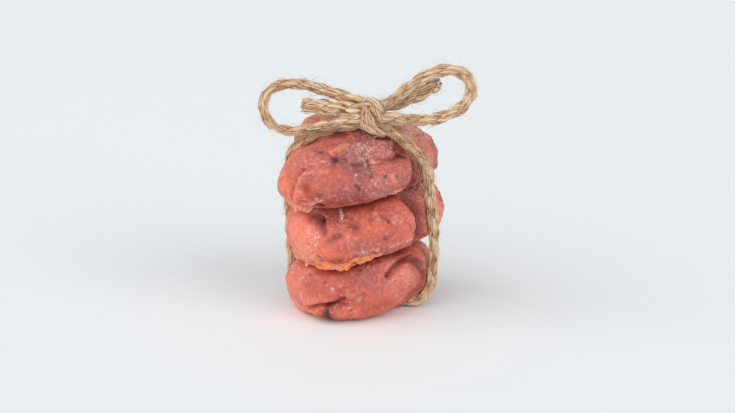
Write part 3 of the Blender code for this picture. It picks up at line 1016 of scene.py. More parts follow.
BOTTOM = Treat(
    name="dough_lower",
    slot="dough_bottom",
    centre=(-0.7 * MM, -0.6 * MM, 9.2 * MM),
    size=(44.5 * MM, 37.5 * MM, 26.5 * MM),
    yaw=30.0,
    roll=-5.0,
    seed=3.1,
    dryness=0.1,
    swells=[
        Swell(-49, 6, 20, 0.5),
        Swell(48, 10, 13, 1.4),
        Swell(16, 12, 12, -1.0),
        Swell(-100, 12, 15, -1.6),
        Swell(-30, -16, 12, 0.5),
        Swell(88, 20, 14, 0.6),
        Swell(118, 8, 16, -0.7),
        Swell(150, -5, 18, 0.9),
        Swell(-172, 12, 16, -0.8),
        Swell(-135, 2, 18, 0.6),
        Swell(-98, -8, 16, -0.6),
        Swell(-85, 14, 12, -0.8),
        Swell(58, -27, 20, -3.9),
        Swell(86, -20, 16, -0.8),
        Swell(12, -36, 20, -1.6),
        Swell(-30, -38, 20, -0.8),
    ],
    folds=[
        Fold([(26, 10), (31, 18), (41, 24), (52, 26), (62, 22), (68, 12)], 2.3, 0.9, 0.5),
        Fold([(-46, -13), (-38, -10), (-30, -7), (-20, -5), (-12, -2)], 2.0, 0.5, 0.3),
        Fold([(128, 26), (137, 8), (132, -16)], 2.2, 1.9, 0.5),
        Fold([(-116, 20), (-134, 9), (-156, 8), (-177, -4)], 1.8, 1.9, 0.5),
    ],
    # Brick and dark tints along creases, dents, pits and notches are painted shade; other painted shade and
    # painted light is noted at its mark.
    marks=[
        Mark([(62, 26), (52, 26), (43, 24), (36, 21), (31, 17), (29, 15)], 0.5, -0.9, 0.1,
             {"brick": 0.8, "dark": 0.3}, lip=0.5),
        Mark([(27, 18), (30, 14)], 0.5, -0.4, 0.2, {"brick": 0.6}),
        Mark([(-12, 0), (-16, -2), (-23, -6), (-30, -8), (-38, -11), (-46, -15)], 0.5, -0.5, 0.1,
             {"brick": 0.5, "dark": 0.1}, lip=0.4),
        Mark([(-12, 0), (-16, -2), (-23, -6), (-27, -8)], 0.5, -0.5, 0.1, {"brick": 0.5, "dark": 0.3}),
        Mark([(-66, -22), (-52, -22), (-38, -10)], 2.6, 0.0, 0.3, {"frost": 0.18, "coral": 0.9}),
        Mark([(-23, -10), (-23, -16), (-21, -21)], 0.6, 0.2, 0.5, {"frost": 0.5, "crumbs": 0.5}),
        Mark([(-18, -7)], 0.6, 0.2, 0.3, {"frost": 0.7}),
        Mark([(-12, -8)], 0.5, 0.2, 0.3, {"frost": 0.6}),
        Mark([(-25, -9), (-26, -13), (-27, -20), (-28, -29)], 1.0, -1.0, 0.0,
             {"dark": 0.6, "brick": 0.8}, lip=0.3),
        # Painted shadow in the gap under the left lobe.
        Mark([(-31, -19), (-26, -18), (-22, -20)], 1.6, -0.4, 0.1, {"dark": 0.6, "brick": 0.9}),
        Mark([(-35, -14), (-45, -18)], 1.6, 0.2, 0.3, {"orange": 0.35, "brick": 0.35}),
        Mark([(-16, -13), (-6, -14)], 1.8, 0.2, 0.4, {"coral": 0.6, "orange": 0.2}),
        Mark([(-20, -7), (-12, -5)], 1.2, -0.2, 0.1, {"brick": 0.7, "dark": 0.2}),
        Mark([(73, 31), (73, 25), (75, 20)], 0.7, 0.2, 0.5, {"orange": 0.9}),
        # Painted light on the lit upper right of the treat.
        Mark([(98, 34), (88, 30), (82, 22), (79, 14)], 3.4, 0.2, 0.2, {"frost": 0.5, "coral": 0.8}),
        # Painted shadow of the twine.
        Mark([(68, 10), (71, 2), (69, -6), (62, -14)], 2.0, -0.4, 0.2, {"brick": 0.7, "dark": 0.25}),
        Mark([(66, 22), (69, 14), (72, 5)], 0.8, -0.4, 0.1, {"dark": 0.3, "brick": 0.6}),
        Mark([(-77, 17)], 4.0, 0.0, 0.4, {"mauve": 0.6}),
        # Painted shadow under the middle treat.
        Mark([(57, 31), (45, 30)], 2.2, 0.0, 0.2, {"brick": 0.6}),
        # Painted light on the top left, under the middle treat's rim.
        Mark([(-96, 14), (-84, 16), (-69, 18), (-57, 21), (-48, 21)], 2.0, 0.0, 0.2,
             {"frost": 0.7, "coral": 1.2}),
        Mark([(58, 24), (67, 18)], 1.6, -0.2, 0.1, {"brick": 0.8, "dark": 0.15}),
        Mark([(32, 8), (44, 10)], 2.8, 0.0, 0.3, {"frost": 0.18, "mauve": 0.25}),
        # Painted shade on the lower front.
        Mark([(6, -16), (16, -13), (26, -12)], 1.6, 0.0, 0.3, {"brick": 0.35}),
        Mark([(-40, -13), (-32, -13), (-25, -12)], 1.6, 0.0, 0.2, {"orange": 0.3, "brick": 0.3}),
        # Painted light on the left lobe.
        Mark([(-78, -20), (-80, -8), (-66, 0), (-58, 6)], 5.0, 0.0, 0.3, {"frost": 0.12, "coral": 1.0}),
        Mark([(-49, -4)], 0.95, 0.2, 0.5, {"frost": 0.9, "crumbs": 1.0}),
        Mark([(-21, 6)], 0.7, 0.1, 0.4, {"frost": 0.7, "crumbs": 0.5}),
        Mark([(0, -2)], 0.6, 0.2, 0.2, {"frost": 0.9}),
        Mark([(-8, -9)], 0.45, 0.2, 0.1, {"frost": 0.9}),
        Mark([(-7, -11)], 0.4, -0.3, 0.0, {"dark": 0.9}),
        Mark([(3, -6)], 0.7, -0.4, 0.2, {"dark": 0.5}),
        Mark([(40, 6), (50, -4)], 4.0, 0.1, 0.5, {"frost": 0.12, "coral": 0.2}),
        Mark([(-34, 14), (-26, 10), (-14, 8)], 4.0, 0.0, 0.3, {"brick": 0.3}),
        Mark([(-12, 0), (-3, -5), (10, -4), (24, -8)], 4.0, 0.0, 0.3, {"brick": 0.25, "coral": 0.2}),
        # Painted highlight between the crease and the top.
        Mark([(34, 30), (42, 22), (47, 14)], 2.4, 0.2, 0.3, {"frost": 0.25, "coral": 0.2}),
    ],
)
MIDDLE = Treat(
    name="dough_centre",
    slot="dough_middle",
    centre=(0.6 * MM, 0.0 * MM, 27.4 * MM),
    size=(49.0 * MM, 37.5 * MM, 27.0 * MM),
    yaw=30.0,
    roll=-9.0,
    seed=8.4,
    dryness=0.0,
    swells=[
        Swell(-48, -2, 16, 1.0),
        Swell(-35, -22, 14, 0.8),
        Swell(-24, 14, 12, -0.7),
        Swell(32, 6, 15, 1.3),
        Swell(90, 8, 15, 0.4),
        Swell(68, 6, 12, -1.8),
        Swell(112, -4, 16, -0.7),
        Swell(145, 6, 18, 0.8),
        Swell(-165, -6, 16, -0.8),
        Swell(-128, 8, 16, 0.7),
        Swell(-99, 6, 14, -2.4),
        Swell(-85, -5, 14, -0.8),
    ],
    folds=[
        Fold([(-50, 17), (-42, 13), (-35, 8), (-31, 0)], 2.4, 1.2),
        Fold([(44, 40), (52, 24), (56, 12), (58, 0), (57, -16)], 4.0, 1.7, 0.3),
        Fold([(118, 26), (127, 8), (121, -18)], 2.2, 1.9, 0.5),
        Fold([(-134, -18), (-148, -2), (-168, 4), (170, -5)], 1.8, 1.9, 0.5),
    ],
    # Brick and dark tints along creases, dents, pits and notches are painted shade; other painted shade and
    # painted light is noted at its mark.
    marks=[
        Mark([(-36, 11)], 0.9, -0.8, 0.0, {"dark": 1.3}),
        Mark([(-30, 3), (-34, 7), (-38, 11), (-43, 13)], 1.2, -0.7, 0.25, {"brick": 1.1, "dark": 0.25}),
        Mark([(-29, 9), (-24, 13)], 1.8, -0.2, 0.3, {"mauve": 0.8, "frost": 0.12}),
        # Painted shade in the hollow under the top treat.
        Mark([(-40, 16), (-33, 15), (-25, 16)], 2.6, -0.6, 0.3, {"brick": 0.8, "dark": 0.15}),
        Mark([(-34, 1), (-31, -6)], 1.3, -0.4, 0.3, {"orange": 0.5, "brick": 0.4}),
        Mark([(-40, 4), (-35, -3), (-40, -10)], 1.5, 0.15, 0.8, {"frost": 0.45}),
        Mark([(-26, -3), (-22, 0), (-19, 2)], 0.9, -0.6, 0.3, {"mauve": 0.9, "dark": 0.5}),
        Mark([(-24, 25), (-21, 19), (-19, 13)], 0.5, 0.1, 0.15, {"frost": 1.2}),
        Mark([(-11, 10), (-7, 7)], 1.4, -0.5, 0.2, {"brick": 0.8, "dark": 0.2}),
        # Painted shadow under the top treat's lower edge.
        Mark([(-20, 18), (-8, 17), (2, 20)], 3.4, 0.0, 0.3, {"brick": 0.5, "orange": 0.12}),
        Mark([(20, 14), (22, 11)], 0.55, -0.7, 0.0, {"dark": 0.8}),
        # Painted highlight beside the dent, with crumbs.
        Mark([(26, 10)], 0.5, 0.3, 0.0, {"frost": 0.8, "crumbs": 1.0}),
        Mark([(20, -4)], 0.8, -0.6, 0.1, {"dark": 0.6}),
        Mark([(4, 7)], 0.8, 0.3, 0.2, {"orange": 0.5, "crumbs": 0.6}),
        Mark([(-15, -6), (0, -7), (15, -8)], 2.6, -0.2, 0.5, {"mauve": 0.5}),
        Mark([(-12, -1), (-7, 1)], 2.0, 0.1, 0.3, {"coral": 0.8, "frost": 0.1}),
        # Painted shadow under the top treat's lower edge.
        Mark([(8, 17), (16, 17), (27, 16)], 1.8, 0.0, 0.3, {"brick": 0.45}),
        Mark([(54, 34), (58, 22), (61, 11), (62, 2), (60, -8)], 1.7, -0.6, 0.0, {"brick": 1.0, "dark": 0.3}),
        Mark([(66, 36), (70, 26), (76, 8), (80, -20)], 3.4, 0.0, 0.2, {"frost": 0.6, "coral": 0.8}),
        Mark([(44, 14), (50, 4)], 3.6, 0.2, 0.2, {"frost": 0.12}),
        # Painted shadow under the torn rim.
        Mark([(-30, -18), (-25, -19), (-19, -18)], 1.2, -0.5, 0.1, {"brick": 1.4, "orange": 0.4}),
        # Painted shadow under the torn rim.
        Mark([(4, -13), (12, -14), (20, -13)], 1.0, 0.0, 0.2, {"brick": 0.8}),
        Mark([(-82, -26), (-74, -36), (-62, -26), (-50, -20), (-38, -17)], 3.0, 0.3, 0.2,
             {"frost": 0.45, "coral": 1.6}),
        Mark([(-46, -10), (-40, -11), (-31, -12)], 2.2, 0.0, 0.4, {"orange": 0.4, "coral": 0.9}),
        # Painted light on the left lobe.
        Mark([(-66, 4), (-56, 6), (-48, -3), (-42, 2)], 5.0, 0.2, 0.2, {"frost": 0.22, "coral": 1.3}),
        # Painted light on the top of the left lobe, over the shadow of the top treat's flap.
        Mark([(-66, 20), (-56, 22), (-48, 24)], 2.4, 0.5, 0.2, {"frost": 0.2, "coral": 1.3}),
        Mark([(44, -8), (28, -12), (14, -13), (2, -13), (-9, -14)], 0.9, 0.45, 0.8,
             {"frost": 0.5, "orange": 0.3, "crumbs": 1.1}),
        Mark([(10, 21), (12, 14)], 0.7, 0.15, 0.7, {"frost": 0.4, "crumbs": 0.8}),
        Mark([(26, 18), (31, 11)], 0.7, 0.15, 0.7, {"frost": 0.4, "crumbs": 0.8}),
    ],
)
TOP = Treat(
    name="dough_upper",
    slot="dough_top",
    centre=(-1.3 * MM, 0.0 * MM, 43.6 * MM),
    size=(47.5 * MM, 38.0 * MM, 25.6 * MM),
    yaw=28.0,
    roll=-7.0,
    seed=14.7,
    dryness=0.42,
    swells=[
        Swell(-98, 1, 15, -4.2),
        Swell(-84, 2, 14, -0.9),
        Swell(-79, 30, 14, -3.6),
        Swell(-118, 36, 17, 4.4),
        Swell(-68, -10, 15, 1.0),
        Swell(-50, 34, 15, -0.8),
        Swell(-50, -11, 18, 1.0),
        Swell(-10, -4, 15, 0.7),
        Swell(16, 26, 16, -1.6),
        Swell(34, 2, 13, 1.4),
        Swell(86, 12, 15, 0.9),
        Swell(64, 26, 15, -4.0),
        Swell(66, 0, 12, -1.0),
        Swell(116, 2, 16, -0.8),
        Swell(148, 12, 18, 0.9),
        Swell(-168, 0, 16, -0.9),
        Swell(-132, 14, 16, 0.7),
        Swell(150, 55, 20, -0.7),
        Swell(-150, 60, 18, 0.6),
        Swell(110, 20, 15, -1.4),
        Swell(-99, 39, 10, 1.2),
    ],
    folds=[
        Fold([(58, 30), (46, 20), (35, 15), (24, 13), (12, 13), (2, 16)], 2.4, 1.3, 0.6),
        Fold([(66, 50), (63, 32), (60, 16), (58, 4), (54, -14)], 2.6, 2.2),
        Fold([(-44, -19), (-36, -21), (-25, -20)], 2.4, 1.9),
        Fold([(-100, 20), (-97, 6), (-104, -16)], 1.8, 1.9, 0.4),
        Fold([(138, -20), (149, 0), (145, 18), (151, 40)], 2.3, 1.9, 0.5),
        Fold([(-144, 20), (-162, 7), (178, 9), (162, 0)], 1.8, 1.9, 0.5),
    ],
    # Brick and dark tints along creases, dents, pits and notches are painted shade; other painted shade and
    # painted light is noted at its mark.
    marks=[
        Mark([(-19, 18)], 1.15, -1.0, 0.0, {"dark": 1.3}),
        Mark([(-11, 19)], 0.9, -0.5, 0.0, {"dark": 0.5, "brick": 0.7}),
        Mark([(-39, 23), (-31, 23), (-25, 22), (-21, 19)], 0.4, -0.4, 0.4, {"dark": 0.4, "brick": 0.6}),
        Mark([(23, 4)], 1.3, 0.1, 0.7, {"frost": 0.25}),
        Mark([(23, 4)], 0.75, -0.6, 0.0, {"dark": 0.7, "mauve": 0.6}),
        Mark([(33, 4)], 0.5, -0.4, 0.0, {"dark": 0.6}),
        Mark([(-1, -1), (2, -5)], 0.55, -0.5, 0.0, {"dark": 0.6, "brick": 0.6}),
        Mark([(-4, 15), (1, 15), (5, 16)], 0.55, -0.6, 0.1, {"dark": 0.6, "mauve": 0.6}),
        Mark([(6, 29), (8, 22), (11, 16), (13, 9), (12, 5)], 0.6, -0.9, 0.3,
             {"brick": 0.8, "dark": 0.3}, lip=0.5),
        Mark([(66, 21), (50, 19), (41, 17), (26, 18), (18, 21)], 0.6, -0.7, 0.3,
             {"brick": 0.4, "dark": 0.25}, lip=0.5),
        Mark([(44, 26), (50, 17)], 0.9, -0.9, 0.0, {"dark": 1.1}),
        Mark([(-18, 33), (-14, 35)], 1.0, 0.6, 0.5, {"orange": 1.2, "frost": 0.2, "crumbs": 1.6}),
        Mark([(-26, 25), (-20, 29)], 1.1, 0.3, 0.3, {"coral": 1.0, "orange": 0.25}),
        Mark([(6, 35), (8, 27), (9, 19), (13, 12)], 1.3, 0.2, 0.8, {"frost": 0.85, "crumbs": 1.3}),
        Mark([(12, 8), (13, -2)], 0.5, -0.2, 0.5, {"frost": 0.5, "brick": 0.4}),
        Mark([(8, 30), (10, 24), (13, 20)], 2.0, 0.1, 0.6, {"frost": 0.5, "crumbs": 0.6}),
        Mark([(-4, 30), (22, 26)], 3.8, 0.1, 0.9, {"frost": 0.3, "crumbs": 0.25}),
        Mark([(-9, 14), (-2, 11), (6, 8)], 1.9, -0.3, 0.4, {"mauve": 1.0, "dark": 0.15}),
        Mark([(24, 37), (33, 30), (42, 24)], 4.2, -0.1, 0.3, {"mauve": 0.9}),
        Mark([(-12, -10), (4, -12)], 4.0, 0.0, 0.4, {"mauve": 0.6}),
        Mark([(16, -6), (28, 1)], 3.0, 0.1, 0.4, {"frost": 0.25, "coral": 0.3}),
        Mark([(18, 12), (38, 12), (62, 12)], 2.2, 0.1, 0.3, {"coral": 0.25}),
        Mark([(15, -14), (24, -14), (35, -14), (41, -12)], 0.5, 0.45, 0.3, {"frost": 0.25}),
        Mark([(35, -13), (41, -12)], 0.6, 0.4, 0.1, {"orange": 0.4, "frost": 0.8}),
        Mark([(-16, 13), (-22, 13), (-34, 11), (-42, 7), (-46, 0), (-48, -5), (-51, -11), (-54, -17)],
             0.7, -0.9, 0.2, {"brick": 0.5, "coral": 0.3}, lip=1.2),
        # Painted highlight along the ridge above the crease.
        Mark([(-24, 10), (-33, 8), (-39, 4), (-43, -2), (-45, -8), (-48, -13)], 1.1, 0.2, 0.4,
             {"frost": 0.26, "coral": 0.5}),
        Mark([(-42, -3), (-36, -7)], 2.8, -0.3, 0.2, {"orange": 0.15, "brick": 0.3, "coral": 1.0}),
        Mark([(-41, -14)], 0.8, 0.4, 0.4, {"frost": 0.9, "crumbs": 1.6}),
        Mark([(-30, -12)], 0.7, 0.3, 0.4, {"frost": 0.9, "crumbs": 1.6}),
        Mark([(-61, 18), (-45, 18), (-35, 16)], 3.5, 0.1, 0.3, {"coral": 0.4, "frost": 0.14}),
        Mark([(-37, 23)], 0.5, -0.4, 0.0, {"brick": 0.8, "dark": 0.4}),
        # Painted shadow where the ring passes the treat's right end.
        Mark([(62, 9), (61, -3), (57, -12)], 1.7, -0.5, 0.1, {"brick": 0.9, "dark": 0.6}),
        Mark([(122, 46), (108, 42), (96, 38)], 4.0, 0.0, 0.2, {"frost": 0.3, "coral": 0.6}),
        Mark([(48, 32), (44, 38), (36, 44)], 1.5, -0.2, 0.1, {"brick": 1.0, "dark": 0.5}),
        # Painted shadow under the twine at the upper left.
        Mark([(-44, 45), (-38, 52), (-26, 50)], 1.6, 0.0, 0.3, {"brick": 0.8, "dark": 0.4}),
        Mark([(78, 34), (88, 37)], 1.8, 0.0, 0.3, {"frost": 1.0}),
        Mark([(84, 26), (77, 16), (78, 6)], 2.4, 0.0, 0.3, {"frost": 0.3, "coral": 0.5}),
        Mark([(34, 0), (44, 2)], 1.8, 0.0, 0.3, {"mauve": 0.5}),
        Mark([(-108, 34), (-120, 38)], 3.0, 0.0, 0.2, {"frost": 0.4, "coral": 0.6}),
        # Painted shade on the lower front.
        Mark([(-20, -15), (-8, -14), (0, -13)], 1.6, 0.0, 0.3, {"brick": 0.6}),
        Mark([(-28, -9), (-34, -10), (-38, -4)], 1.8, 0.0, 0.2, {"brick": 0.8}),
        Mark([(60, 20), (66, 14)], 1.6, 0.0, 0.3, {"frost": 0.4, "coral": 0.8}),
        Mark([(-120, 34), (-100, 40), (-80, 44)], 6.0, 0.0, 0.2, {"coral": 0.7, "frost": 0.2}),
        # Painted light on the lit back lobe.
        Mark([(92, 34), (88, 26)], 2.8, 0.0, 0.2, {"frost": 0.6, "coral": 0.4}),
        Mark([(-57, -16), (-50, -21), (-44, -23)], 1.2, 0.5, 0.75,
             {"frost": 0.5, "coral": 1.2, "crumbs": 1.6}),
        Mark([(-41, -18), (-37, -20), (-33, -22)], 1.3, -1.4, 0.0, {"dark": 0.45, "brick": 1.0}),
        Mark([(-43, -18), (-38, -16), (-31, -14), (-26, -13)], 0.6, 0.4, 0.6, {"frost": 0.6, "crumbs": 1.2}),
        Mark([(-56, -12), (-50, -16), (-42, -14)], 2.8, 0.0, 0.2, {"coral": 1.2}),
        # Painted shade on the lower front.
        Mark([(-22, -15), (-4, -17), (12, -16)], 1.6, 0.0, 0.3, {"brick": 0.5}),
        Mark([(-80, 12), (-68, 6), (-60, -6)], 4.2, 0.0, 0.3, {"coral": 0.9, "frost": 0.1}),
    ],
)
# From the lowest up.
TREATS = [BOTTOM, MIDDLE, TOP]

TORN_EDGES = [
    TornEdge(
        MIDDLE,
        [(-50, -12), (-44, -15), (-36, -18), (-28, -20), (-21, -22), (-13, -20), (-6, -17), (2, -15),
         (12, -16), (18, -16)],
        reach=1.5, droop=40.0, curl=10.0, root=1.0, seed=31.3,
        tints={"coral": 0.9, "orange": 0.15},
        tip_tints={"orange": 0.7, "coral": 0.7, "frost": 0.35, "crumbs": 0.8},
    ),
    TornEdge(
        MIDDLE,
        [(-68, -12), (-60, -16), (-54, -18), (-48, -20), (-42, -21), (-36, -22)],
        reach=1.7, droop=50.0, curl=-10.0, root=1.2, seed=12.7,
        tints={"coral": 1.0, "orange": 0.2},
        tip_tints={"coral": 0.9, "orange": 0.3, "frost": 0.45, "crumbs": 0.8},
    ),
    TornEdge(
        MIDDLE,
        [(-45, -18), (-38, -21), (-30, -23), (-21, -25), (-12, -23), (-6, -20)],
        reach=1.7, droop=50.0, curl=-26.0, root=1.1, seed=47.9,
        tints={"coral": 0.3, "orange": 0.9},
        tip_tints={"orange": 1.3, "crumbs": 0.35},
    ),
    TornEdge(
        MIDDLE,
        [(-12, -18), (-4, -17), (3, -16), (9, -17)],
        reach=1.7, droop=38.0, curl=-10.0, root=0.9, seed=90.2,
        tints={"coral": 0.6, "orange": 0.6},
        tip_tints={"orange": 1.3, "frost": 0.1, "crumbs": 0.5},
    ),
    TornEdge(
        TOP,
        [(-61, -11), (-55, -16), (-50, -20), (-44, -22), (-40, -22)],
        reach=1.9, droop=55.0, curl=20.0, root=1.1, seed=5.3,
        tints={"coral": 1.2},
        tip_tints={"coral": 0.8, "frost": 0.8, "crumbs": 1.3},
    ),
    TornEdge(
        TOP,
        [(-46, -16), (-41, -17), (-35, -15), (-29, -13), (-25, -12)],
        reach=0.9, droop=35.0, curl=45.0, root=0.8, seed=77.1,
        tints={"coral": 1.2},
        tip_tints={"coral": 0.8, "frost": 0.7, "crumbs": 1.0},
    ),
    TornEdge(
        TOP,
        [(31, -14), (35, -13), (39, -12), (43, -12)],
        reach=1.1, droop=15.0, curl=20.0, root=0.7, seed=23.9,
        tints={"coral": 0.5},
        tip_tints={"orange": 0.5, "frost": 0.6},
    ),
]

# From the floor up: what presses on the underside of each treat, and last on the stack's top.
CONTACTS = [
    Contact(-0.55 * MM),
    Contact(19.4 * MM, 0.20, 0.05),
    Contact(36.9 * MM, 0.17, 0.03),
    Contact(1.0),
]
BETWEEN_TREATS = CONTACTS[1:3]

# Where the twine presses in.
GROOVE_RADIUS = 1.72 * MM
GROOVE_SOFTNESS = 0.25 * MM
KNOT_GROOVE_RADIUS = 2.3 * MM
UNDERSIDE_OPENING = 1.3 * MM
GROOVE_BATCH = 8000

# Sizes of the skin's relief, and how much each part of it counts.
DRIFT_SIZE = 7.0 * MM
DRIFT_REACH = 2.2 * MM
LUMP_SIZE = 5.5 * MM
FLAKE_SIZE = 2.3 * MM
SMALL_FLAKE_SIZE = 1.1 * MM
GRAIN_SIZE = 0.6 * MM
WRINKLE_SPACING = 9.0 * MM
WRINKLE_SHARPNESS = 0.035
DRY_SIZE = 5.0 * MM
LUMP_WEIGHT = 2.0
SMALL_LUMP_WEIGHT = 0.45
FLAKE_MIDDLE = 0.2
FLAKE_WEIGHT = 1.8
SMALL_FLAKE_WEIGHT = 1.3
GRAIN_WEIGHT = 0.5
WRINKLE_WEIGHT = 1.2

# The painted shade along the seams between treats, the painted shade that hollow places add to the masks, and
# what proud places add.
SEAM_SHADE_WIDTH = 1.9 * MM
# The painted shade fades out towards the left, where the left lamp lights the seams.
SEAM_SHADE_START = -11.0 * MM
SEAM_SHADE_FADE = 6.0 * MM
SEAM_SHADE_UNDER_NEXT = 0.8
SEAM_SHADE_ON_LAST = 0.35
SEAM_SHADE_DARK = 0.4
HOLLOW_SHADE = 0.45
PROUD_FROST = 0.22
CRUMBS_ANYWHERE = 0.015
CRUMBS_PROUD = 0.05

# Marks: the step along their lines, the sizes of their breaks, and how many are scattered.
MARK_STEP = 0.02
BREAK_SIZE = 1.1 * MM
SMALL_BREAK_SIZE = 0.5 * MM
SCATTERED = 70

# Torn rims, whose waves are (size in mm, share of the reach).
TORN_STEP = 0.008
TORN_SINK = 0.8 * MM
TORN_TIP = 0.16
TORN_WAVES = ((3.6, 1.1), (1.5, 0.7), (0.7, 0.22))
TORN_REACH = 0.66
TORN_REACH_LIMITS = (0.12, 1.45)
TORN_END_TAPER = 0.35
TORN_DROOP_WAVE = 3.5
TORN_DROOP_CHANGE = 60.0
TORN_BUMPS = 0.45 * MM
TORN_BUMP_SIZE = 0.8 * MM
TORN_SMALL_BUMP_SIZE = 0.35 * MM
SHEET_CELLS = 9
STRONGEST_MASK = 1.3


def direction_of(azimuth, elevation):
    """The unit vector at an azimuth and elevation in degrees."""
    a, e = math.radians(azimuth), math.radians(elevation)
    return np.array([math.sin(a) * math.cos(e), -math.cos(a) * math.cos(e), math.sin(e)])


def block_radius(treat, directions):
    """How far a rounded block of the treat's size reaches along each direction."""
    yaw = Matrix.Rotation(math.radians(treat.yaw), 3, "Z")
    turn = yaw @ Matrix.Rotation(math.radians(treat.roll), 3, "Y")
    own = np.abs(directions @ np.array(turn)) / (np.array(treat.size) / 2)
    return (own**FULLNESS).sum(axis=1) ** (-1.0 / FULLNESS)


def swell_height(treat, directions):
    """The rise or dent that the treat's swells give along each direction."""
    height = np.zeros(len(directions))
    for swell in treat.swells:
        near = directions @ direction_of(swell.azimuth, swell.elevation)
        angle = np.degrees(np.arccos(np.clip(near, -1.0, 1.0)))
        height += swell.height * MM * np.exp(-((angle / swell.spread) ** 2))
    return height


def line_on_sphere(angles, step=FOLD_STEP):
    """Points along a smooth line of (azimuth, elevation) points, as directions."""
    if len(angles) == 1:
        return np.array([direction_of(*angles[0])])
    line = smooth_route([direction_of(*point) for point in angles], step)
    return line / np.linalg.norm(line, axis=1)[:, None]


def nearest_on(line, directions):
    """How far each direction is from the line, and the number of the line's nearest point."""
    near = directions @ line.T
    number = near.argmax(axis=1)
    best = np.clip(near[np.arange(len(directions)), number], -1.0, 1.0)
    return np.sqrt(np.maximum(2.0 - 2.0 * best, 0.0)), number


def left_of(line, nearest, directions):
    """Whether each direction is on the left of the line, seen from outside."""
    leftwards = np.cross(line, np.gradient(line, axis=0))[nearest]
    return (leftwards * (directions - line[nearest])).sum(axis=1) > 0


def lip_shape(line, nearest, directions, away):
    """The share of a lip's rise beside a line, on its left only."""
    return np.exp(-(((away - LIP_PLACE) / LIP_SPREAD) ** 2)) * left_of(line, nearest, directions)


def taper_shape(line, nearest):
    """A share that falls to nothing at both ends of a line."""
    return np.sin(math.pi * (nearest + 0.5) / len(line)) ** FOLD_TAPER


def fold_depth(treat, directions, radius):
    """How deep the treat's folds cut along each direction, less the lips that they raise."""
    depth = np.zeros(len(directions))
    for fold in treat.folds:
        line = line_on_sphere(fold.line)
        apart, nearest = nearest_on(line, directions)
        away = apart * radius / (fold.width * MM)
        groove = fold.depth * np.exp(-(away**2))
        lip = fold.lip * lip_shape(line, nearest, directions, away)
        depth += taper_shape(line, nearest) * (groove - lip) * MM
    return depth


def noise_at(points, size, seed):
    """Smooth noise from -1 to 1 at each point, with lumps of about this size."""
    offset = Vector((seed, -seed, 2 * seed))
    return np.array([noise.noise(Vector(p) + offset) for p in points / size])


def pressed(heights, limit, side):
    """Heights softly held under the limit where side is 1, and over it where side is -1."""
    inside = side * (limit - heights) / CONTACT_SOFTNESS
    return limit - side * CONTACT_SOFTNESS * np.logaddexp(0.0, inside)


def dough_body(treat, directions, below, above):
    """Where the smooth dough lies along each direction from the treat's middle."""
    radius = block_radius(treat, directions) + swell_height(treat, directions)
    radius -= fold_depth(treat, directions, radius)
    centre = np.array(treat.centre)
    radius += UNEVEN_HEIGHT * noise_at(centre + directions * radius[:, None], UNEVEN_SIZE, treat.seed)
    points = centre + directions * radius[:, None]
    for contact, side in ((above, 1), (below, -1)):
        limit = contact.under(points) - side * CONTACT_GAP / 2
        points[:, 2] = pressed(points[:, 2], limit, side)
    return points


def skin_relief(treat, points, height):
    """Lumps, flakes and wrinkles of the pressed skin, with how hollow and how proud each place is."""
    seed = treat.seed
    drift = np.stack([noise_at(points, DRIFT_SIZE, seed + k) for k in (21.0, 22.0, 23.0)], axis=1)
    swept = points + DRIFT_REACH * drift
    small_lumps = noise_at(swept, 0.5 * LUMP_SIZE, seed + 6.0)
    lumps = noise_at(swept, LUMP_SIZE, seed + 1.0) + SMALL_LUMP_WEIGHT * small_lumps
    flakes = np.abs(noise_at(swept, FLAKE_SIZE, seed + 2.0)) - FLAKE_MIDDLE
    small = np.abs(noise_at(swept, SMALL_FLAKE_SIZE, seed + 3.0)) - FLAKE_MIDDLE
    grain = noise_at(points, GRAIN_SIZE, seed + 4.0)
    line = noise_at(swept, WRINKLE_SPACING, seed + 5.0)
    wrinkle = np.exp(-((line / WRINKLE_SHARPNESS) ** 2)) * np.clip(2.0 * drift[:, 0], 0.0, 1.0)
    worn = np.clip(0.5 + 1.8 * drift[:, 1], 0.15, 1.3)
    rough = FLAKE_WEIGHT * flakes + SMALL_FLAKE_WEIGHT * small + GRAIN_WEIGHT * grain
    relief = height * (LUMP_WEIGHT * lumps + worn * rough - WRINKLE_WEIGHT * wrinkle)
    hollow = np.clip(0.8 * wrinkle - 1.8 * rough * worn - 0.2, 0.0, 1.0)
    proud = np.clip(1.4 * rough * worn - 0.2, 0.0, 1.0)
    return relief, hollow, proud


def twine_groove(points, centre, directions, route, radius):
    """Draws back the dough where a strand of twine presses into it."""
    reach = np.linalg.norm(points - centre, axis=1)
    for start in range(0, len(points), GROOVE_BATCH):
        part = slice(start, start + GROOVE_BATCH)
        ahead = directions[part] @ (route - centre).T
        away = ((route - centre) ** 2).sum(axis=1)[None, :] - ahead**2
        entry = ahead - np.sqrt(np.maximum(radius**2 - away, 0.0))
        cap = np.where((away < radius**2) & (ahead > 0), entry, 1.0).min(axis=1)
        step = np.clip((reach[part] - cap) / GROOVE_SOFTNESS, -50.0, 50.0)
        reach[part] -= GROOVE_SOFTNESS * np.logaddexp(0.0, step)
    return centre + directions * reach[:, None]


